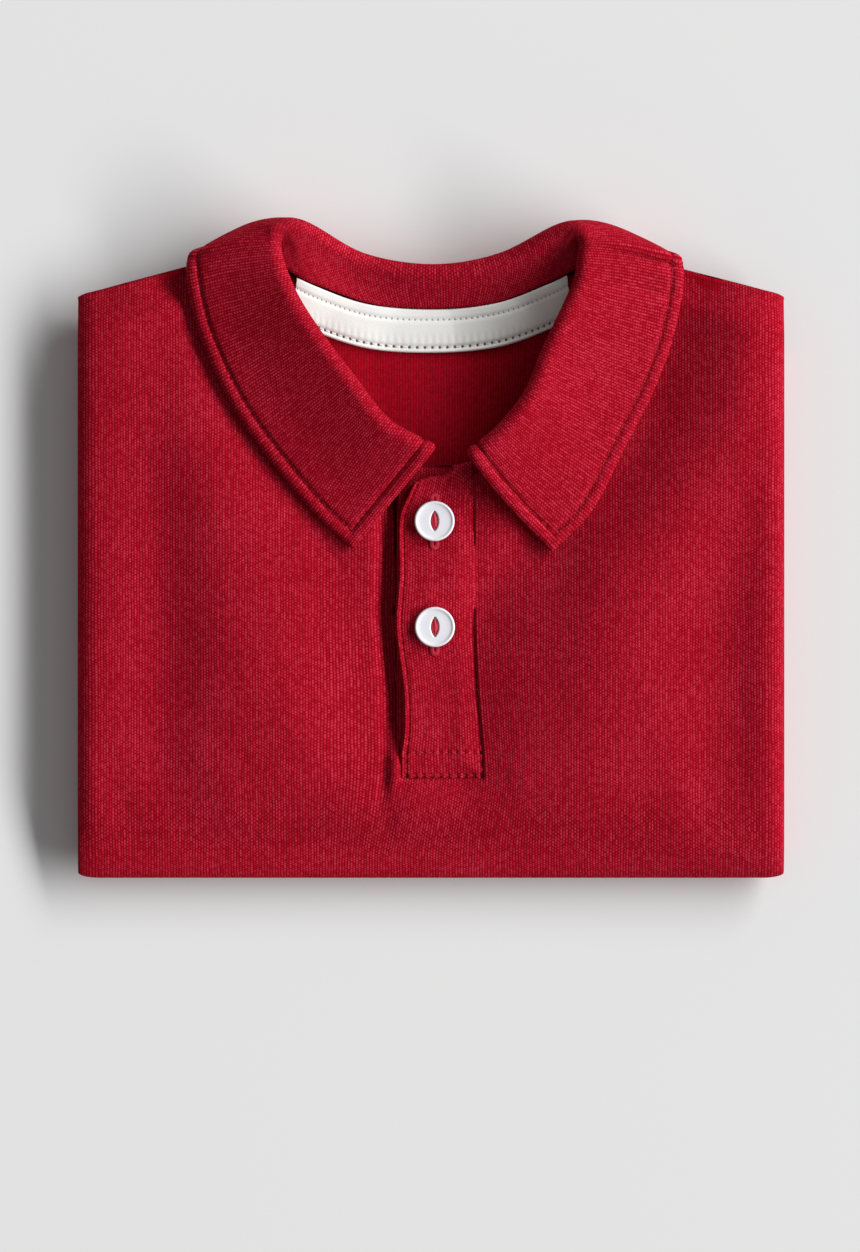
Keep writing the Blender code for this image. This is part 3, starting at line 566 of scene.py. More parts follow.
def face_outwards(mesh):
    """Turns all faces of a closed mesh outwards."""
    bmesh.ops.recalc_face_normals(mesh, faces=mesh.faces)
    if mesh.calc_volume(signed=True) < 0.0:
        bmesh.ops.reverse_faces(mesh, faces=mesh.faces)


def add_object(name, data):
    """An object in the scene for some data."""
    made = bpy.data.objects.new(name, data)
    bpy.context.scene.collection.objects.link(made)
    return made


def add_mesh(name, mesh, material):
    """An object in the scene for a finished mesh, which is freed."""
    data = bpy.data.meshes.new(name)
    mesh.to_mesh(data)
    mesh.free()
    data.materials.append(material)
    return add_object(name, data)


def add_piece(name, mesh, material, slot, *nodes):
    """Makes a finished object that rides with the shirt and stands for the named solids."""
    piece = add_mesh(name, mesh, material)
    piece.data.shade_smooth()
    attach(piece, BODY)
    if nodes:
        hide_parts(*nodes)
    return piece


def add_stitch(mesh, centre, along, length, radius, up=UP):
    """One stitch as a slim bead of thread, in millimetres."""
    along = along.normalized()
    side = up.cross(along).normalized()
    turn = Matrix((along * length / 2, side * radius, along.cross(side) * radius)).transposed().to_4x4()
    place = Matrix.Translation(centre * MM) @ Matrix.Scale(MM, 4) @ turn
    bmesh.ops.create_uvsphere(mesh, u_segments=6, v_segments=6, radius=1.0,
                              matrix=place @ Matrix.Rotation(math.pi / 2, 4, "Y"))


def sew(mesh, start, end, length, radius):
    """One stitch over the middle between two points."""
    add_stitch(mesh, (start + end) / 2, end - start, length, radius)


# --- materials ---

def add_node(tree, kind, sockets=(), output=0, **settings):
    """Adds a shader node with its settings and gives one of its outputs.

    kind is the node's own name, or an operation in capitals for a maths node. sockets holds values and
    other nodes' outputs, either in order or by name or number.
    """
    if kind.isupper():
        kind, settings = "Math", {"operation": kind}
    node = tree.nodes.new("ShaderNode" + kind)
    for name, value in settings.items():
        setattr(node, name, value)
    for key, value in sockets.items() if isinstance(sockets, dict) else enumerate(sockets):
        if isinstance(value, bpy.types.NodeSocket):
            tree.links.new(value, node.inputs[key])
        else:
            node.inputs[key].default_value = value
    return node.outputs[output] if node.outputs else None


def new_material(name):
    """A material without nodes, and the way to add a node to it."""
    material = bpy.data.materials.get(name) or bpy.data.materials.new(name)
    material.use_nodes = True
    material.node_tree.nodes.clear()
    return material, partial(add_node, material.node_tree)


def jersey_material(name="cotton_interlock_crimson", fluff_sheen=0.6, relief=1.0):
    """Ring-spun cotton interlock, piece-dyed crimson: matt, with fine columns of stitches, painted shade
    between them, and some fluff with a painted sheen.
    """
    settings = bpy.context.scene.polo_jersey
    material, node = new_material(name)
    # cloth places are in metres, so one unit of column and row is one stitch
    cloth = node("UVMap", uv_map="cloth")
    wander = node("TexNoise", {"Vector": cloth, "Scale": WANDER_SCALE, "Detail": 2.0, "Roughness": 0.5})
    column = node("MULTIPLY", (node("SeparateXYZ", [cloth], "X"), 1.0 / settings.wale))
    column = node("MULTIPLY_ADD", (wander, 0.8, column))
    row = node("MULTIPLY", (node("SeparateXYZ", [cloth], "Y"), 1.0 / settings.course))
    row = node("MULTIPLY_ADD", (wander, 1.1, row))
    wale = node("FLOOR", [column])
    # neighbouring wales of interlock are half a stitch apart
    parity = node("FRACT", [node("MULTIPLY", (wale, 0.5))])
    row = node("ADD", (row, parity))
    across = node("FRACT", [column])
    off_centre = node("ABSOLUTE", [node("SUBTRACT", (across, 0.5))])
    rib = node("COSINE", [node("MULTIPLY", (off_centre, math.pi * 0.96))])
    slanted = node("MULTIPLY_ADD", (off_centre, 1.1, row))
    leg = node("COSINE", [node("MULTIPLY", (slanted, math.tau))])
    leg = node("MULTIPLY_ADD", (leg, 0.5, 0.5))
    stitch = node("MULTIPLY", (rib, node("MULTIPLY_ADD", (leg, 0.65, 0.35))))
    # every loop of yarn takes the light a little differently
    cell = node("CombineXYZ", (wale, node("FLOOR", [slanted])))
    loop = node("TexWhiteNoise", [cell], noise_dimensions="2D")
    fibre = node("TexNoise", {"Vector": cloth, "Scale": FIBRE_SCALE, "Detail": 3.0, "Roughness": 0.7})
    cloud = node("TexNoise", {"Vector": cloth, "Scale": CLOUD_SCALE, "Detail": 2.0, "Roughness": 0.5})
    tone = node("MULTIPLY_ADD", (rib, 0.16, node("MULTIPLY", (stitch, 0.46))))
    # with parity, every second wale gets a little painted shade, as if it lay deeper
    for pattern, strength in ((loop, 0.24), (parity, 0.1), (fibre, 0.9), (cloud, 0.2)):
        tone = node("MULTIPLY_ADD", (pattern, strength, tone))
    # the lowest tone takes the shade colour: painted shade in the valleys between the wales and the legs of
    # the stitches
    stitch_shade_mix = node("MapRange", (tone, 0.65, 1.41))
    colour = node("Mix", {0: stitch_shade_mix, 6: settings.shade, 7: settings.colour}, 2, data_type="RGBA")
    # the highest tone takes the fluff colour: loose fibres and a painted sheen on the crests of the stitches
    loose = node("MapRange", (tone, 1.11, 1.38, 0.0, fluff_sheen))
    colour = node("Mix", {0: loose, 6: colour, 7: settings.fluff_sheen}, 2, data_type="RGBA")
    height = node("MULTIPLY_ADD", (fibre, 0.8, stitch))
    bump = node("Bump", {"Strength": relief, "Distance": settings.relief, "Height": height})
    shader = node("BsdfPrincipled", {"Base Color": colour, "Normal": bump, "Roughness": 0.92,
                                     "Specular IOR Level": 0.03, "Sheen Weight": 0.04,
                                     "Sheen Roughness": 0.45, "Sheen Tint": srgb("#E0485C")})
    node("OutputMaterial", [shader])
    return material


def needle_holes(node, along, across, seam):
    """1 in the needle holes of one of the tape's seams, 0 elsewhere."""
    along = node("FRACT", [node("MULTIPLY", (along, 1.0 / (seam["pitch"] * MM)))])
    along = node("MULTIPLY", (node("SUBTRACT", (along, 0.5)), seam["pitch"]))
    across = node("SUBTRACT", (node("MULTIPLY", (across, 1.0 / MM)), seam["row"]))
    along, across = (node("MULTIPLY", (way, way)) for way in (along, across))
    away = node("SQRT", [node("ADD", (along, across))])
    return node("MapRange", (away, seam["hole"] * 1.5, seam["hole"] * 0.45))


def tape_material():
    """Bleached cotton tape, woven in a fine twill: matt off-white, with painted shade in the needle holes.
    """
    material, node = new_material("cotton_twill_tape")
    cloth = node("UVMap", uv_map="cloth")
    along, across = node("SeparateXYZ", [cloth], "X"), node("SeparateXYZ", [cloth], "Y")
    diagonal = node("ADD", (node("MULTIPLY", (along, 1.0 / (TWILL_ALONG * MM))),
                            node("MULTIPLY", (across, 1.0 / (TWILL_ACROSS * MM)))))
    twill = node("COSINE", [node("MULTIPLY", (diagonal, math.tau))])
    grain = node("TexNoise", {"Vector": cloth, "Scale": GRAIN_SCALE, "Detail": 2.0, "Roughness": 0.6})
    upper, lower = (needle_holes(node, along, across, seam) for seam in TAPE_SEAMS)
    holes = node("MAXIMUM", (node("MULTIPLY", (upper, 0.6)), lower))
    weave = node("MULTIPLY_ADD", (twill, 0.25, grain))
    shade = node("MapRange", (weave, 0.0, 1.0, 0.9, 1.04))
    tape = bpy.context.scene.polo_trim.tape[:3]
    toned = node("VectorMath", {"Vector": tape, "Scale": shade}, operation="SCALE")
    # painted shade: the needle holes take a dark colour for the shade inside them
    colour = node("Mix", {0: holes, 6: toned, 7: srgb("#4A3A3A")}, 2, data_type="RGBA")
    height = node("MULTIPLY_ADD", (holes, -4.0, weave))
    bump = node("Bump", {"Strength": 0.7, "Distance": 0.07 * MM, "Height": height})
    shader = node("BsdfPrincipled", {"Base Color": colour, "Normal": bump, "Roughness": 0.85,
                                     "Specular IOR Level": 0.2, "Sheen Weight": 0.12})
    node("OutputMaterial", [shader])
    return material


def thread_material(kind):
    """Spun polyester sewing thread: a soft gloss on two twisted plies."""
    material, node = new_material("spun_thread_" + kind)
    place = node("TexCoord", output="Object")
    twist = node("TexNoise", {"Vector": place, "Scale": TWIST_SCALE, "Detail": 2.0, "Roughness": 0.6})
    shade = node("MapRange", (twist, 0.3, 0.7, 0.75, 1.2))
    dye = getattr(bpy.context.scene.polo_trim, kind + "_thread")[:3]
    toned = node("VectorMath", {"Vector": dye, "Scale": shade}, operation="SCALE")
    bump = node("Bump", {"Strength": 0.6, "Distance": 0.06 * MM, "Height": twist})
    shader = node("BsdfPrincipled", {"Base Color": toned, "Normal": bump, "Roughness": 0.6,
                                     "Specular IOR Level": 0.25, "Sheen Weight": 0.05})
    node("OutputMaterial", [shader])
    return material


def button_material():
    """Cast polyester resin, tumble polished: glossy white with a very faint pearly cloud."""
    material, node = new_material("polished_resin_white")
    place = node("TexCoord", output="Object")
    cloud = node("TexNoise", {"Vector": place, "Scale": PEARL_SCALE, "Detail": 3.0, "Roughness": 0.55})
    resin = bpy.context.scene.polo_trim.button
    colour = node("Mix", {0: cloud, 6: resin, 7: srgb("#E8E6F0")}, 2, data_type="RGBA")
    fine = node("TexNoise", {"Vector": place, "Scale": POLISH_SCALE, "Detail": 2.0})
    gloss = node("MapRange", (fine, 0.0, 1.0, 0.16, 0.3))
    bump = node("Bump", {"Strength": 0.15, "Distance": 0.02 * MM, "Height": fine})
    shader = node("BsdfPrincipled", {"Base Color": colour, "Normal": bump, "Roughness": gloss, "IOR": 1.54,
                                     "Coat Weight": 0.3, "Coat Roughness": 0.08})
    node("OutputMaterial", [shader])
    return material


def surface_material():
    """Painted board, rolled matt: an even pale grey with a barely visible grain."""
    material, node = new_material("matt_painted_board")
    place = node("TexCoord", output="Object")
    grain = node("TexNoise", {"Vector": place, "Scale": ROLLER_SCALE, "Detail": 2.0})
    bump = node("Bump", {"Strength": 0.1, "Distance": 0.05 * MM, "Height": grain})
    shader = node("BsdfPrincipled", {"Base Color": bpy.context.scene.polo_stage.floor, "Normal": bump,
                                     "Roughness": 0.9, "Specular IOR Level": 0.1})
    node("OutputMaterial", [shader])
    return material


# --- front ---

NOSE_LENGTH = math.pi * math.sqrt((SIDE_NOSE ** 2 + (LOBE / 2) ** 2) / 2)   # cloth over a side fold
FLAT_HALF = HALF_WIDTH - SIDE_NOSE
FOLD_START = BOTTOM_Y + BOTTOM_REACH
FOLD_LENGTH = math.pi * math.sqrt((BOTTOM_REACH ** 2 + MIDDLE ** 2) / 2)    # cloth round the bottom fold
FRONT_REACH = FLAT_HALF + NOSE_LENGTH + FLAP


def across_section(across, depth):
    """x, depth below the face and inset at the bottom fold, over a side fold and back behind it."""
    side = math.copysign(1.0, across)
    beyond = abs(across) - FLAT_HALF
    angle = min(math.pi, max(0.0, beyond / NOSE_LENGTH * math.pi))
    inset = CORNER_INSET * LOBE / 2 * (1.0 - math.cos(angle)) + depth * math.cos(angle)
    x = FLAT_HALF + (SIDE_NOSE - depth) * math.sin(angle)
    below = LOBE / 2 - (LOBE / 2 - depth) * math.cos(angle)
    if beyond <= 0.0:
        x = abs(across)
    if beyond > NOSE_LENGTH:
        x = FLAT_HALF - (beyond - NOSE_LENGTH)
    return side * x, below, inset


def neckline_points():
    """The front's neckline just outside the collar seam, from left to right."""
    centre = Vector((NECK_CENTRE[0] + 0.5, NECK_CENTRE[1] + 12.0))
    corner = shoulder_line(NECK_CORNER)
    points = [(-NECK_CORNER, corner)]
    left_start, right_start = KEYS[LEFT_NECK_ROW - 2], KEYS[RIGHT_NECK_ROW + 2]
    for key in steps(left_start, 0.0, 40) + steps(KEYS[-1], right_start, 40):
        spot = smooth(KEYS, SEAMS, key).to_2d()
        spot += (spot - centre).normalized() * NECKLINE_MARGIN
        if spot.x > points[-1][0] + 0.05:
            points.append(tuple(spot))
    return points + [(NECK_CORNER, corner)]


def top_edge(across):
    """y of the front's upper edge: shoulder seams and neckline."""
    if abs(across) >= NECK_CORNER:
        return shoulder_line(across)
    return linear(NECKLINE_X, NECKLINE_Y, across)


def slot_shift(across, y):
    """Bends the columns of the cloth along the edges of the slot."""
    left, right = slot_left(y) + SLOT_HALF, slot_right(y) - SLOT_HALF
    if abs(across) > SLOT_HALF:
        return (left if across < 0.0 else right) * ramp(SLOT_HALF + 26.0, SLOT_HALF, abs(across))
    return left + (right - left) * (across + SLOT_HALF) / (2 * SLOT_HALF)


@lru_cache(maxsize=None)
def collar_underside():
    """The under collar's lower side, to find how high the cloth below may rise."""
    mesh = under_collar_wall()
    tree = BVHTree.FromBMesh(mesh)
    mesh.free()
    return tree


def below_collar(point, depth=0.0):
    """The same point, lowered where the collar lies on it."""
    hit, _, _, _ = collar_underside().ray_cast(Vector((point.x, point.y, 5.0)) * MM, UP)
    if hit is not None:
        point.z = min(point.z, hit.z / MM - GAP - depth)
    return point


def front_point(across, along, depth):
    """A point of the front at a depth below its face.

    along is (stretch, value): down the top, round the bottom fold, then back underneath.
    """
    stretch, value = along
    x, below, inset = across_section(across, depth)
    if stretch in ("top", "foot"):
        y = SLOT_BOTTOM + (top_edge(across) - SLOT_BOTTOM) * value
        if stretch == "foot":
            y = value
        x += slot_shift(across, y)
        lift = (folds(x, y) + creases(x, y)) * ramp(LOBE, 0.0, below)
        point = Vector((x, y, STACK - below + lift - placket_gap(x, y) - droop(across, y)))
        return below_collar(point, depth) if y > CLEAR_OF_COLLAR and abs(across) < FLAT_HALF else point
    if stretch == "fold":
        y = FOLD_START - (BOTTOM_REACH - inset) * math.sin(value)
        x += slot_shift(across, y)
        z = MIDDLE + (MIDDLE - below) * math.cos(value)
        lift = (folds(x, y) + creases(x, y)) * ramp(LOBE, 0.0, below)
        return Vector((x, y, z + lift * max(0.0, math.cos(value)) ** 1.5))
    return Vector((x, FOLD_START + (HEM_Y - FOLD_START) * value, below))


def front_cloth_place(across, along):
    """Place on the flat cloth, measured down from the neck."""
    stretch, value = along
    if stretch == "top":
        return across, SLOT_BOTTOM + (top_edge(across) - SLOT_BOTTOM) * value
    if stretch == "foot":
        return across, value
    if stretch == "fold":
        return across, FOLD_START - FOLD_LENGTH * value / math.pi
    return across, FOLD_START - FOLD_LENGTH - (HEM_Y - FOLD_START) * value


def build_front():
    """The front, over both side folds, round the bottom fold and back underneath to the hem."""
    nose = steps(FLAT_HALF, FLAT_HALF + NOSE_LENGTH, 16)[1:]
    right = chain([SLOT_HALF, 30.0, FLAT_HALF], [18, 42])[1:] + nose + steps(nose[-1], FRONT_REACH, 6)[1:]
    columns = [-c for c in reversed(right)] + chain([-SLOT_HALF, SLOT_HALF], [26]) + right
    rows = [("top", v) for v in chain([1.0, 0.94, 0.0], [10, 104])]
    rows += [("foot", y) for y in steps(SLOT_BOTTOM, FOLD_START, 9)[1:]]
    rows += [("fold", v) for v in steps(0.0, math.pi, 36)[1:]]
    rows += [("under", v) for v in steps(0.0, 1.0, 16)[1:]]

    def place(across, along):
        return front_point(across, along, 0.0), front_point(across, along, CLOTH)

    def keep_cell(middle, row, next_row):
        return abs(middle) > SLOT_HALF or next_row[0] != "top"

    mesh = cloth_wall(columns, rows, place, front_cloth_place, keep_cell)
    piece = add_piece("front_cloth", mesh, jersey_material(), "red_jersey", "front_panel")


# --- back and hidden layers ---

def back_edge(x):
    """y of the back's upper edge: the neck seam between the shoulders, and the shoulder seams."""
    neck = SEAMS[LEFT_NECK_ROW:RIGHT_NECK_ROW + 1]
    if neck[0].x < x < neck[-1].x:
        return smooth([p.x for p in neck], [p.y for p in neck], x) - BACK_NECK_MARGIN
    return min(shoulder_line(x) - 0.4, BACK_TOP + 8.0 * ramp(52.0, 60.0, abs(x)))


def back_spot(x, along):
    """A place on the back, a share of the way up from the bottom fold to its upper edge."""
    start = FOLD_START - 1.0
    return x, start + (back_edge(x) - start) * along


def build_back():
    """The back's upper half, which shows inside the neck."""
    columns = chain([-BACK_HALF, -56.0, 56.0, BACK_HALF], [20, 86, 20])
    rows = chain([1.0, 0.6, 0.0], [64, 24])

    def place(x, along):
        x, y = back_spot(x, along)
        top = back_top(x, y)
        return Vector((x, y, top)), Vector((x, y, top - CLOTH))

    mesh = cloth_wall(columns, rows, place, back_spot)
    # the inside of the cloth is smoother than its worn face, without fluff or painted sheen
    inside = jersey_material("cotton_interlock_inside", fluff_sheen=0.0, relief=0.45)
    piece = add_piece("back_cloth", mesh, inside, "red_jersey", "back_panel")


def upper_layer_place(number):
    """Places one of the hidden layers between the back and the lower half."""
    flap_edge = FLAT_HALF - FLAP

    def place(x, along):
        x, y = back_spot(x, along)
        ceiling = back_top(x, y) - CLOTH - GAP
        beside_flap = STACK - LOBE + CLOTH + GAP - droop(x, y)
        over_flap = ramp(flap_edge - 4.0, flap_edge - 0.5, abs(x))
        floor = min(UPPER_LAYER_LOW + (beside_flap - UPPER_LAYER_LOW) * over_flap, ceiling - 1.2)
        share = (ceiling - floor) / UPPER_LAYER_COUNT
        top = ceiling - share * number
        return Vector((x, y, top)), Vector((x, y, top - share * 0.9))

    return place


def rounded_slab(layer):
    """A flat layer with rounded corners and edges."""
    mesh = bmesh.new()
    bmesh.ops.create_cube(mesh, size=1.0)
    size = (layer["half_width"] * 2, layer["back"] - layer["front"], layer["high"] - layer["low"])
    centre = (0.0, (layer["back"] + layer["front"]) / 2, (layer["low"] + layer["high"]) / 2)
    bmesh.ops.scale(mesh, vec=Vector(size) * MM, verts=mesh.verts)
    bmesh.ops.translate(mesh, vec=Vector(centre) * MM, verts=mesh.verts)
    upright = [edge for edge in mesh.edges if abs(edge.verts[0].co.z - edge.verts[1].co.z) > MM]
    bmesh.ops.bevel(mesh, geom=upright, offset=9 * MM, segments=8, affect="EDGES", profile=0.5, material=-1)
    rims = {edge for face in mesh.faces if abs(face.normal.z) > 0.9 for edge in face.edges}
    bmesh.ops.bevel(mesh, geom=list(rims), offset=size[2] * 0.45 * MM, segments=4, affect="EDGES",
                    profile=0.5, material=-1)
    uv_layer = mesh.loops.layers.uv.new("cloth")
    for face in mesh.faces:
        for loop in face.loops:
            loop[uv_layer].uv = loop.vert.co.to_2d()
    face_outwards(mesh)
    return mesh


def join_meshes(target, others):
    """Adds copies of other meshes to a mesh, and frees them."""
    for other in others:
        data = bpy.data.meshes.new("part")
        other.to_mesh(data)
        other.free()
        target.from_mesh(data)
        bpy.data.meshes.remove(data)
    return target


def build_hidden_layers():
    """The sleeves and the lower half, folded away between the back and the front's underside."""
    columns = chain([-BACK_HALF + 0.5, -84.0, 84.0, BACK_HALF - 0.5], [14, 40, 14])
    layers = []
    for number in range(UPPER_LAYER_COUNT):
        inset = 0.012 + 0.011 * number
        rows = chain([0.985 - inset, 0.8, 0.015 + inset * 0.5], [16, 26])
        layers.append(cloth_wall(columns, rows, upper_layer_place(number), back_spot, rim=0.5))
    layers += [rounded_slab(layer) for layer in LOWER_LAYERS]
    mesh = join_meshes(layers[0], layers[1:])
    piece = add_piece("folded_layers_cloth", mesh, jersey_material(), "red_jersey", "folded_layers")


# --- collar ---

SEAMS, ROLLS, EDGES, LEADS = ([Vector(spot) for spot in column_of(COLLAR_SECTIONS, name)]
                              for name in ("seam", "roll", "edge", "lead"))
TURNS = [math.radians(turn) for turn in column_of(COLLAR_SECTIONS, "out")]
# distance round the collar at each section, between its roll and its outer edge
KEYS = list(accumulate((((ROLLS[i + 1] - ROLLS[i]).length + (EDGES[i + 1] - EDGES[i]).length) / 2
                        for i in range(len(ROLLS) - 1)), initial=0.0))
LEFT_NECK_KEY, RIGHT_NECK_KEY = KEYS[LEFT_NECK_ROW], KEYS[RIGHT_NECK_ROW]
NECKLINE_X, NECKLINE_Y = zip(*neckline_points())
COLLAR_STOPS = (0.0, 6.0, LEFT_NECK_KEY - 16.0, LEFT_NECK_KEY + 16.0, RIGHT_NECK_KEY - 16.0,
                RIGHT_NECK_KEY + 16.0, KEYS[-1] - 6.0, KEYS[-1])


def bezier(a, b, c, d, t):
    """A point of a cubic curve from a to d with the handles b and c."""
    s = 1.0 - t
    return a * (s * s * s) + b * (3 * s * s * t) + c * (3 * s * t * t) + d * (t * t * t)


class CollarSection:
    """The line across the collar at one key: stand, roll and fall."""

    def __init__(self, key):
        self.seam, self.roll, self.edge, self.lead = (smooth(KEYS, guide, key)
                                                      for guide in (SEAMS, ROLLS, EDGES, LEADS))
        level = min(self.edge.y, SHOULDER_Y - 2.0)
        under = base_top(self.edge.x, level) + soft_folds(self.edge.x, level)
        self.edge.z += STACK + (under - STACK) * ramp(-2.0, 1.0, self.edge.z)
        turn = smooth(KEYS, TURNS, key)
        self.out = Vector((math.cos(turn), math.sin(turn), 0.0))
        self.start = self.tangent_angle(self.seam, -1)
        self.end = self.tangent_angle(self.edge + self.lead, 1)

    def tangent_angle(self, point, side):
        """Where a line from a point touches the roll."""
        flat, rise = (point - self.roll).dot(self.out), point.z - self.roll.z
        away = max(ROLL * 1.02, math.hypot(flat, rise))
        heading = math.atan2(rise, flat)
        if side < 0 and heading <= 0.0:
            heading += math.tau
        return heading + side * math.acos(ROLL / away)

    def on_roll(self, angle):
        """A point of the roll."""
        return self.roll + (self.out * math.cos(angle) + UP * math.sin(angle)) * ROLL

    def point(self, share):
        """The point at a share of the way across, from the neck seam to the outer edge."""
        if share < STAND_SHARE:
            first = self.on_roll(self.start)
            heading = self.out * -math.sin(self.start) + UP * math.cos(self.start)
            handle = first + heading * (first - self.seam).length * 0.35
            return bezier(self.seam, self.seam.lerp(handle, 0.5), handle, first, share / STAND_SHARE)
        if share < ROLL_SHARE:
            t = (share - STAND_SHARE) / (ROLL_SHARE - STAND_SHARE)
            return self.on_roll(self.start + (self.end - self.start) * t)
        last = self.on_roll(self.end)
        heading = self.out * math.sin(self.end) - UP * math.cos(self.end)
        handle = last + heading * (self.edge - last).length * 0.35
        t = (share - ROLL_SHARE) / (1.0 - ROLL_SHARE)
        return bezier(last, handle, self.edge + self.lead, self.edge, t)


class CollarSurface:
    """The collar's mid-surface on a grid, with normals and distances from its stitched border."""

    def __init__(self, keys, shares):
        self.key_places = {key: i for i, key in enumerate(keys)}
        self.share_places = {share: j for j, share in enumerate(shares)}
        self.points = [[section.point(share) for share in shares] for section in map(CollarSection, keys)]
        self.widths = [list(accumulate(((after - before).length for before, after in zip(line, line[1:])),
                                       initial=0.0)) for line in self.points]
        self.border, self.border_places = collar_border()

    def cloth_place(self, key, share):
        """Place on the flat cloth: round the collar, and down from its seam."""
        return key, self.widths[self.key_places[key]][self.share_places[share]]

    def normal(self, i, j):
        """The face that shows: the neck side of the stand and the top of the fall."""
        last_i, last_j = len(self.points) - 1, len(self.points[0]) - 1
        ahead = self.points[min(last_i, i + 1)][j] - self.points[max(0, i - 1)][j]
        down = self.points[i][min(last_j, j + 1)] - self.points[i][max(0, j - 1)]
        return ahead.cross(down).normalized()

    def ply(self, side):
        """Places the upper ply (side 1) or the under ply (side -1)."""
        def place(key, share):
            i, j = self.key_places[key], self.share_places[share]
            point = self.points[i][j]
            _, nearest, distance = self.border.find(point)
            closing = rounded(distance, EDGE_ROUNDING)
            swell = collar_swell(distance, self.border_places[nearest]) if side > 0 else 0.0
            outer = EDGE_OUTER + (PLY_OFFSET + COLLAR_PLY - EDGE_OUTER) * closing + swell * closing
            inner = EDGE_INNER + (PLY_OFFSET - EDGE_INNER) * closing
            normal = self.normal(i, j) * side
            return point + normal * outer, point + normal * inner

        return place


def collar_border():
    """Points along the collar's left end, outer edge and right end, for distances from its border."""
    first, last = CollarSection(0.0), CollarSection(KEYS[-1])
    ends = steps(STAND_SHARE, 1.0, 70)
    points = [first.point(share) for share in ends]
    points += [CollarSection(key).edge for key in steps(0.0, KEYS[-1], 640)[1:-1]]
    points += [last.point(share) for share in reversed(ends)]
    tree = kdtree.KDTree(len(points))
    for index, point in enumerate(points):
        tree.insert(point, index)
    tree.balance()
    return tree, list(accumulate(((after - before).length for before, after in zip(points, points[1:])),
                                 initial=0.0))


def collar_swell(distance, place):
    """Height of the bead along the collar's edge, the stitch groove and the puffed cloth beyond it."""
    pit = 0.75 + 0.25 * math.cos(place / COLLAR_STITCH * math.tau)
    bead = 0.0
    if distance < EDGE_BEAD:
        bead = BEAD_HEIGHT * math.sin(math.pi * min(1.0, distance / (EDGE_BEAD - 0.2))) ** 0.8
    beyond = distance - EDGE_BEAD
    groove = GROOVE_DEPTH * pit * bell(beyond / GROOVE_DEPTH)
    return bead - groove + PUFF_HEIGHT * ramp(0.0, 1.6, beyond) * ramp(9.0, 2.0, beyond)


def collar_wall(side, key_counts, share_stops, share_counts):
    """One ply of the collar: the upper (side 1) or the under ply (side -1)."""
    keys, shares = chain(COLLAR_STOPS, key_counts), chain(share_stops, share_counts)
    surface = CollarSurface(keys, shares)
    return cloth_wall(keys, shares, surface.ply(side), surface.cloth_place, rim=0.0)


def under_collar_wall():
    """The under collar, on a coarser grid than the upper one."""
    return collar_wall(-1, (8, 44, 26, 40, 26, 44, 8), (0.0, STAND_SHARE, ROLL_SHARE, 0.9, 1.0),
                       (6, 10, 12, 8))


def build_collar():
    """Both plies of the collar and their edge stitching."""
    mesh = collar_wall(1, (14, 100, 46, 76, 46, 100, 14), (0.0, STAND_SHARE, ROLL_SHARE, 0.86, 1.0),
                       (10, 14, 22, 18))
    upper = add_piece("collar_cloth", mesh, jersey_material(), "red_jersey", "upper_collar")
    under = add_piece("under_collar_cloth", under_collar_wall(), jersey_material(), "red_jersey",
                      "under_collar")
    build_collar_stitches()


def build_collar_stitches():
    """Thread along the collar's edge, sunk in its groove."""
    mesh = bmesh.new()
    tree, places = collar_border()
    spots = []
    for key in steps(0.0, KEYS[-1], 900):
        section = CollarSection(key)
        share = 1.0
        while share > ROLL_SHARE:
            point = section.point(share)
            _, nearest, distance = tree.find(point)
            if distance >= EDGE_BEAD - 0.05:
                break
            share -= 0.004
        if share <= ROLL_SHARE:
            continue
        ahead = CollarSection(min(KEYS[-1], key + 0.4)).point(share)
        ahead -= CollarSection(max(0.0, key - 0.4)).point(share)
        up = ahead.cross(section.point(min(1.0, share + 0.01)) - section.point(share - 0.01)).normalized()
        spots.append((places[nearest], point + up * (PLY_OFFSET + COLLAR_PLY - 0.36), ahead, up))
    spots.sort(key=lambda spot: spot[0])
    sewn = -COLLAR_STITCH
    for (place, centre, ahead, up), (_, after, _, _) in zip(spots, spots[1:]):
        if place - sewn < COLLAR_STITCH or (after - centre).length > 3.0:
            continue
        sewn = place
        along = after - centre if (after - centre).length > 0.05 else ahead
        add_stitch(mesh, centre, along, COLLAR_STITCH * 0.8, 0.2, up)
    add_piece("collar_stitches", mesh, thread_material("dark"), "red_jersey")


# --- neck tape ---

def tape_spot(key, down):
    """Place on the tape: key round the neck, down from its top edge, in millimetres."""
    here = smooth(KEYS, SEAMS, key).to_2d()
    ahead = (smooth(KEYS, SEAMS, key + 0.5) - smooth(KEYS, SEAMS, key - 0.5)).to_2d().normalized()
    inward = (Vector((ahead.y, -ahead.x)) + Vector((0.0, -3.0))).normalized()
    spot = here + inward * (TAPE_REACH + down)
    carrier = max(back_top(spot.x + aside, spot.y) for aside in (-5.0, 0.0, 5.0))
    return spot, carrier + GAP + 0.2


def build_tape():
    """The tape over the seam inside the back of the neck, puckered along its lower stitching."""
    columns = steps(LEFT_NECK_KEY + TAPE_END, RIGHT_NECK_KEY - TAPE_END, 210)
    rows = steps(0.0, TAPE_WIDTH, 44)
    lower = TAPE_SEAMS[-1]

    def place(key, down):
        spot, under = tape_spot(key, down)
        sewn = sum(seam["depth"] * bell((down - seam["row"]) / seam["spread"]) for seam in TAPE_SEAMS)
        above_row = bell((down - lower["row"] + 2.2) / 1.6)
        pucker = 0.045 * above_row * math.cos(key / lower["pitch"] * math.tau)
        pucker += 0.12 * noise.noise(Vector((key / 9.0, down / 8.0, 7.0)))
        top = under + PLY - sewn + pucker
        low = under + 0.15
        thickness = (top - low) * (0.4 + 0.6 * rounded(min(down, TAPE_WIDTH - down), 0.6))
        return Vector((*spot, low + thickness)), Vector((*spot, low))

    mesh = cloth_wall(columns, rows, place, lambda key, down: (key, down), rim=0.0)
    piece = add_piece("neck_tape_cloth", mesh, tape_material(), "white_twill", "neck_tape")
    build_tape_stitches(columns)


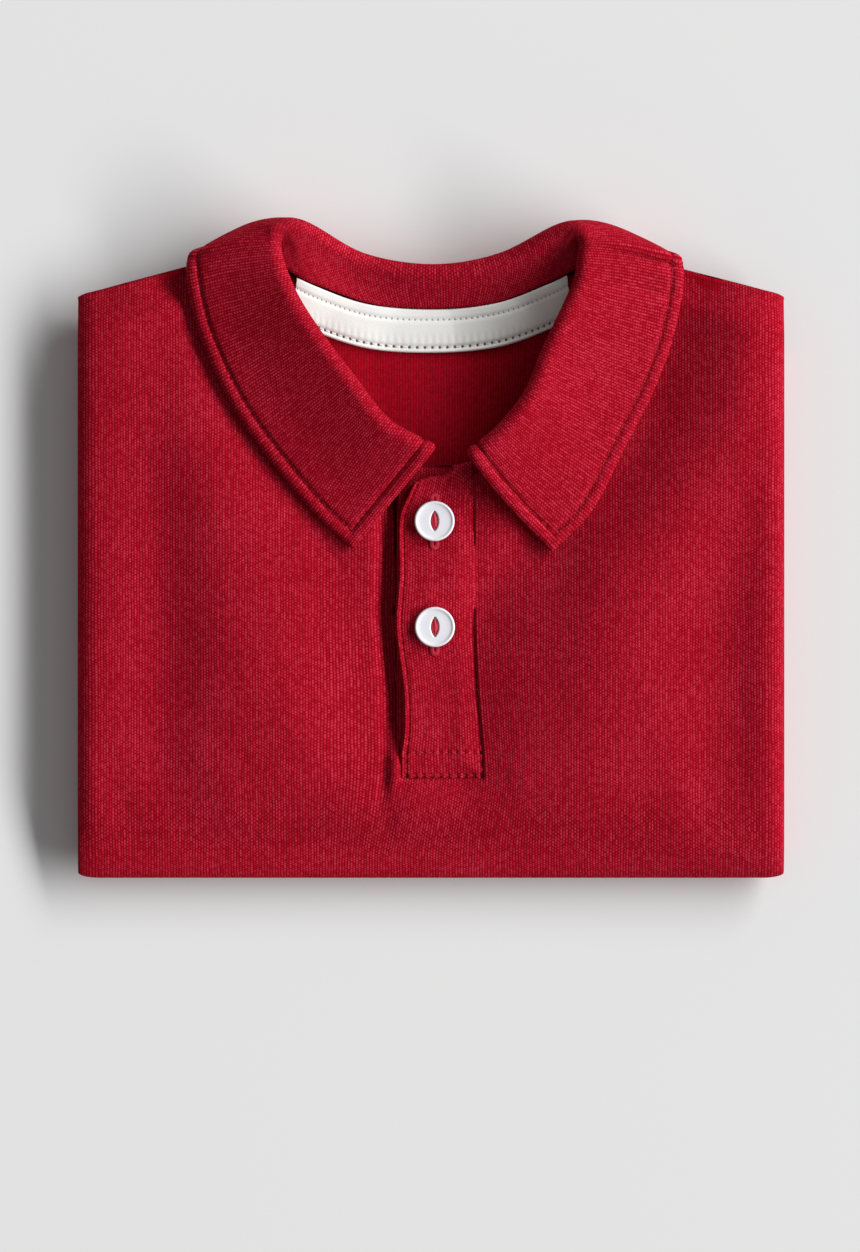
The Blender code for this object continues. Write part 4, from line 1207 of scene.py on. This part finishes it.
def build_tape_stitches(columns):
    """Both rows of thread along the tape."""
    mesh = bmesh.new()
    for seam in TAPE_SEAMS:
        pitch = seam["pitch"]
        for number in range(math.ceil(columns[0] / pitch), int(columns[-1] / pitch)):
            ends = []
            for key in ((number - 0.25) * pitch, (number + 0.25) * pitch):
                spot, under = tape_spot(key, seam["row"])
                ends.append(Vector((*spot, under + PLY - TAPE_THREAD_SINK)))
            sew(mesh, *ends, pitch * 0.62, seam["thread"])
    add_piece("tape_stitches", mesh, thread_material("white"), "white_twill")


# --- placket ---

def placket_edges(y):
    """x of the placket's left and right edges at y, and how far its top edge slants there."""
    keys = column_of(PLACKET_ROWS, "y")
    at = min(keys[-1], max(keys[0], y))
    return [smooth(keys, column_of(PLACKET_ROWS, name), at) for name in ("left", "right", "slant")]


def seam_share(x, y):
    """1 along the placket's right seam and foot, where it lies level with the front, 0 away from them."""
    right = placket_edges(y)[1]
    return max(ramp(right - 6.0, right - 0.5, x), ramp(-66.0, -71.5, y))


def placket_face(x, y):
    """Height of the placket's face without its own seams and drags."""
    right = placket_edges(y)[1]
    rise = PLACKET_RISE * ramp(-71.6, -65.0, y) * ramp(right + 0.2, right - 3.0, x)
    level = base_top(x, y) + waves(x, y) * seam_share(x, y)
    return level + rise - folds(x, y) * 0.7 * (1.0 - seam_share(x, y)) + soft_folds(max(x, -6.0), y)


def placket_spot(share, y):
    """A place on the placket: share across from its free edge, and y down from its slanted top edge."""
    left, right, slant = placket_edges(y)
    rise = smooth((0.0, 0.22, 0.58, 0.75, 1.0), (0.0, 0.3, 0.56, 1.0, 1.2), share)
    return left + (right - left) * share, y + slant * rise


def placket_relief(share, y):
    """Edge bead, stitch groove, the box at the foot, and drag lines round the buttons."""
    x, level = placket_spot(share, y)
    from_left = x - placket_edges(y)[0]
    from_top = PLACKET_TOP - y
    pit = 0.6 + 0.4 * math.cos(y / 2.3 * math.tau)
    height = 0.3 * math.sin(math.pi * min(1.0, from_left / 1.5))
    height -= 0.6 * pit * bell((from_left - 1.75) / 0.42)
    height += 0.3 * math.sin(math.pi * min(1.0, from_top / 1.5)) - 0.35 * bell((from_top - 1.8) / 0.4)
    pit = 0.5 + 0.5 * math.cos(x / 2.6 * math.tau)
    for row_y in (BOX_TOP, BOX_FOOT):
        height -= 0.75 * pit * bell((y - row_y) / 0.5)
    height -= 0.35 * bell((from_left - 0.9) / 0.45) * ramp(-62.0, -65.0, y)
    for bx, by in BUTTON_PLACES.values():
        dx, dy = x - bx, level - by
        away = math.hypot(dx, dy)
        drag = math.sin((dx * 0.75 + dy * 0.55) / 2.1) * ramp(15.0, 7.5, away) * ramp(4.0, 8.0, away)
        height += 0.12 * drag
        height -= 0.55 * bell((away / 7.0) ** 2)
    return height + 0.22 * noise.noise(Vector((x / 6.0, level / 11.0, 1.7))) * (1.0 - seam_share(x, level))


def build_placket():
    """The top strip, the under strip that carries the buttons, and all their stitching."""
    columns = chain([0.0, 0.12, 1.0], [9, 47])
    rows = steps(PLACKET_TOP, PLACKET_FOOT, 170)

    def place(share, y):
        x, level = placket_spot(share, y)
        face = placket_face(x, level) + 0.25 * (1.0 - ramp(0.0, 0.25, share))
        from_left = x - placket_edges(y)[0]
        edge = 0.5 * (1.0 - ramp(0.0, 1.0, min(1.0, from_left / 0.9 + 0.25)))
        top = face + placket_relief(share, y) - edge
        return Vector((x, level, top)), Vector((x, level, face - PLACKET_WALL + 0.2))

    mesh = cloth_wall(columns, rows, place, lambda share, y: (2.0 + share * 24.0, y))
    strip = add_piece("placket_cloth", mesh, jersey_material(), "red_jersey", "placket")

    def under_place(share, y):
        x = UNDERLAP_LEFT + UNDERLAP_WIDTH * share
        top = placket_face(x, y) - PLACKET_WALL - UNDERLAP_DROP
        return Vector((x, y, top)), Vector((x, y, top - UNDERLAP_WALL))

    mesh = cloth_wall(steps(0.0, 1.0, 26), steps(UNDERLAP_TOP, UNDERLAP_FOOT, 90), under_place,
                      lambda share, y: (share * UNDERLAP_WIDTH, y))
    under = add_piece("underlap_cloth", mesh, jersey_material(), "red_jersey", "placket_underlap")
    build_placket_stitches()
    build_buttonholes()


def placket_point(share, y, lift):
    """A point at a height above the placket's finished face."""
    x, level = placket_spot(share, y)
    return Vector((x, level, placket_face(x, level) + placket_relief(share, y) + lift))


def build_placket_stitches():
    """Edge stitching down the free edge and the sewn box at the placket's foot."""
    mesh = bmesh.new()
    for y in steps(17.0, BOX_TOP, 36):
        share = 1.7 / 24.0
        sew(mesh, placket_point(share, y + 0.7, 0.02), placket_point(share, y - 0.7, 0.02), 1.5, 0.15)
    for row_y in (BOX_TOP, BOX_FOOT):
        for share in steps(0.05, 0.96, 9):
            start, end = (placket_point(share + aside, row_y, 0.06) for aside in (-0.03, 0.03))
            sew(mesh, start, end, 1.7, 0.17)
    for y in steps(BOX_TOP - 1.2, PLACKET_FOOT + 1.5, 3):
        sew(mesh, placket_point(0.035, y + 0.7, 0.12), placket_point(0.035, y - 0.7, 0.12), 1.8, 0.18)
    add_piece("placket_stitches", mesh, thread_material("dark"), "red_jersey")


def build_buttonholes():
    """Close satin stitches round both buttonholes."""
    mesh = bmesh.new()
    half = BUTTONHOLE_LENGTH / 2
    for bx, by in BUTTON_PLACES.values():
        face = placket_face(bx, by) + 0.05
        for y in steps(by - half, by + half, 44):
            if abs(y - by) >= HIDDEN_HALF:
                for side in (-1.0, 1.0):
                    centre = Vector((bx + side * SATIN_OFFSET, y, face))
                    add_stitch(mesh, centre, Vector((1.0, 0.12 * side, 0.0)), *SATIN_STITCH)
        for end in (-1.0, 1.0):
            for turn in steps(-math.pi / 2, math.pi / 2, 9):
                outward = Vector((math.sin(turn), end * math.cos(turn), 0.0))
                centre = Vector((bx, by + end * half, face)) + outward * SATIN_OFFSET
                add_stitch(mesh, centre, outward, *SATIN_STITCH)
    add_piece("buttonhole_stitches", mesh, thread_material("red"), "red_jersey")


# --- buttons ---

def dip(x, y):
    """Depth of the eye-shaped dip in a button's face."""
    waist = DIP_HALF_WIDTH * max(0.0, 1.0 - (y / DIP_HALF_LENGTH) ** 2) ** 0.8
    if waist < 0.02:
        return 0.0
    return DIP_DEPTH * ramp(1.15, 0.75, abs(x) / waist)


def build_button(name):
    """A cast and turned disc with a raised rim, a dished face and an eye-shaped dip for the thread."""
    x, y = BUTTON_PLACES[name]
    mesh = bmesh.new()
    rings = BUTTON_PROFILE + tuple((radius, BUTTON_FACE) for radius in steps(3.55, 0.1, 23) + [0.0])
    verts = [mesh.verts.new((radius * MM, 0.0, height * MM)) for radius, height in rings]
    edges = [mesh.edges.new(pair) for pair in zip(verts, verts[1:])]
    bmesh.ops.spin(mesh, geom=verts + edges, cent=(0, 0, 0), axis=(0, 0, 1), angle=math.tau, steps=72,
                   use_merge=True)
    bmesh.ops.remove_doubles(mesh, verts=mesh.verts, dist=1e-7)
    for vert in mesh.verts:
        if vert.co.z > 1.9 * MM:
            vert.co.z -= dip(vert.co.x / MM, vert.co.y / MM) * MM
    base = placket_face(x, y) + BUTTON_LIFT
    bmesh.ops.translate(mesh, verts=mesh.verts, vec=Vector((x, y, base)) * MM)
    face_outwards(mesh)
    add_piece(f"button_{name}_disc", mesh, button_material(), "white_button", f"button_{name}")
    thread = bmesh.new()
    for strand in range(5):
        aside = (strand - 2) * 0.34
        crown = base + 1.75 - abs(strand - 2) * 0.1
        reach = DIP_HALF_LENGTH - 0.75 - abs(aside) * 0.9
        arc = [Vector((x + aside + 0.12 * math.sin(t * 2.0 + strand), y + t * reach, crown - 0.35 * t * t))
               for t in steps(-1.0, 1.0, 6)]
        for before, after in zip(arc, arc[1:]):
            sew(thread, before, after, (after - before).length * 1.7, 0.27)
    add_piece(f"button_{name}_thread", thread, thread_material("red"), "red_jersey")


# --- stage ---

def build_stage():
    """The surface, the low window light from the right, even light from all round, and the camera above."""
    settings = bpy.context.scene.polo_stage
    scene = bpy.context.scene
    mesh = bmesh.new()
    bmesh.ops.create_grid(mesh, x_segments=8, y_segments=8, size=4.0)
    floor = add_mesh("floor", mesh, surface_material())

    light = bpy.data.lights.new("window_light", "AREA")
    light.shape = "RECTANGLE"
    light.size, light.size_y = LIGHT_WIDTH, LIGHT_HEIGHT
    light.energy = settings.key_power
    lamp = add_object("window_light", light)
    rise, turn = math.radians(LIGHT_ELEVATION), math.radians(LIGHT_TURN)
    towards = Vector((math.cos(rise) * math.cos(turn), math.cos(rise) * math.sin(turn), math.sin(rise)))
    lamp.location = towards * LIGHT_DISTANCE
    lamp.rotation_euler = (-towards).to_track_quat("-Z", "Y").to_euler()

    world = bpy.data.worlds.new("even_light")
    world.use_nodes = True
    background = world.node_tree.nodes["Background"]
    background.inputs["Color"].default_value = (1.0, 1.0, 1.0, 1.0)
    background.inputs["Strength"].default_value = settings.fill
    scene.world = world
    scene.view_settings.view_transform = "Standard"

    camera = bpy.data.cameras.new("overhead")
    camera.lens = settings.lens
    camera.sensor_width = 36.0
    camera.clip_end = 50.0
    eye = add_object("overhead", camera)
    distance = settings.lens / camera.sensor_width * FRAME_HEIGHT
    eye.location = Vector((*FRAME_CENTRE, distance + STACK * 0.6)) * MM
    scene.camera = eye


# --- operators and panel ---

class Builder:
    """Runs the functions that build one piece or group."""

    def execute(self, context):
        for build in self.builds:
            build()
        return {"FINISHED"}


class POLO_OT_stage(Builder, bpy.types.Operator):
    """Add the surface, the lights and the camera above it"""
    bl_idname = "polo.stage"
    bl_label = "Stage"
    builds = (build_stage,)


class POLO_OT_front(Builder, bpy.types.Operator):
    """Add the front, folded over both sides and under at the bottom"""
    bl_idname = "polo.front"
    bl_label = "Front"
    builds = (build_front,)


class POLO_OT_back(Builder, bpy.types.Operator):
    """Add the back and the hidden folded layers"""
    bl_idname = "polo.back"
    bl_label = "Back and Folded Layers"
    builds = (build_back, build_hidden_layers)


class POLO_OT_collar(Builder, bpy.types.Operator):
    """Add both plies of the collar and their edge stitching"""
    bl_idname = "polo.collar"
    bl_label = "Collar"
    builds = (build_collar,)


class POLO_OT_tape(Builder, bpy.types.Operator):
    """Add the tape inside the back of the neck"""
    bl_idname = "polo.tape"
    bl_label = "Neck Tape"
    builds = (build_tape,)


class POLO_OT_placket(Builder, bpy.types.Operator):
    """Add the placket, its underlap and its stitching"""
    bl_idname = "polo.placket"
    bl_label = "Placket"
    builds = (build_placket,)


class POLO_OT_buttons(Builder, bpy.types.Operator):
    """Add the buttons with the thread that holds them"""
    bl_idname = "polo.buttons"
    bl_label = "Buttons"
    builds = tuple(partial(build_button, name) for name in BUTTON_PLACES)


class POLO_PT_panel(bpy.types.Panel):
    """Lists the shirt's settings and the pieces it is built from"""
    bl_idname = "POLO_PT_panel"
    bl_label = "Polo Shirt"
    bl_space_type = "VIEW_3D"
    bl_region_type = "UI"
    bl_category = "Polo Shirt"

    def draw(self, context):
        layout = self.layout
        for group in (context.scene.polo_jersey, context.scene.polo_trim, context.scene.polo_stage):
            for name in group.__annotations__:
                layout.prop(group, name)
        for operator in OPERATORS:
            layout.operator(operator.bl_idname)


SETTINGS = {"polo_jersey": JerseySettings, "polo_trim": TrimSettings, "polo_stage": StageSettings}
OPERATORS = (POLO_OT_stage, POLO_OT_front, POLO_OT_back, POLO_OT_collar, POLO_OT_tape, POLO_OT_placket,
             POLO_OT_buttons)


def register():
    """Adds the settings, the operators and the panel."""
    for name, group in SETTINGS.items():
        bpy.utils.register_class(group)
        setattr(bpy.types.Scene, name, bpy.props.PointerProperty(type=group))
    for kind in (*OPERATORS, POLO_PT_panel):
        bpy.utils.register_class(kind)


def unregister():
    """Takes them away again, the last one first."""
    for kind in (POLO_PT_panel, *reversed(OPERATORS)):
        bpy.utils.unregister_class(kind)
    for name, group in SETTINGS.items():
        delattr(bpy.types.Scene, name)
        bpy.utils.unregister_class(group)


def main():
    """Builds the whole shirt on its stage."""
    register()
    bpy.ops.polo.stage()
    bpy.ops.polo.front()
    bpy.ops.polo.back()
    bpy.ops.polo.collar()
    bpy.ops.polo.tape()
    bpy.ops.polo.placket()
    bpy.ops.polo.buttons()


if __name__ == "__main__":
    main()
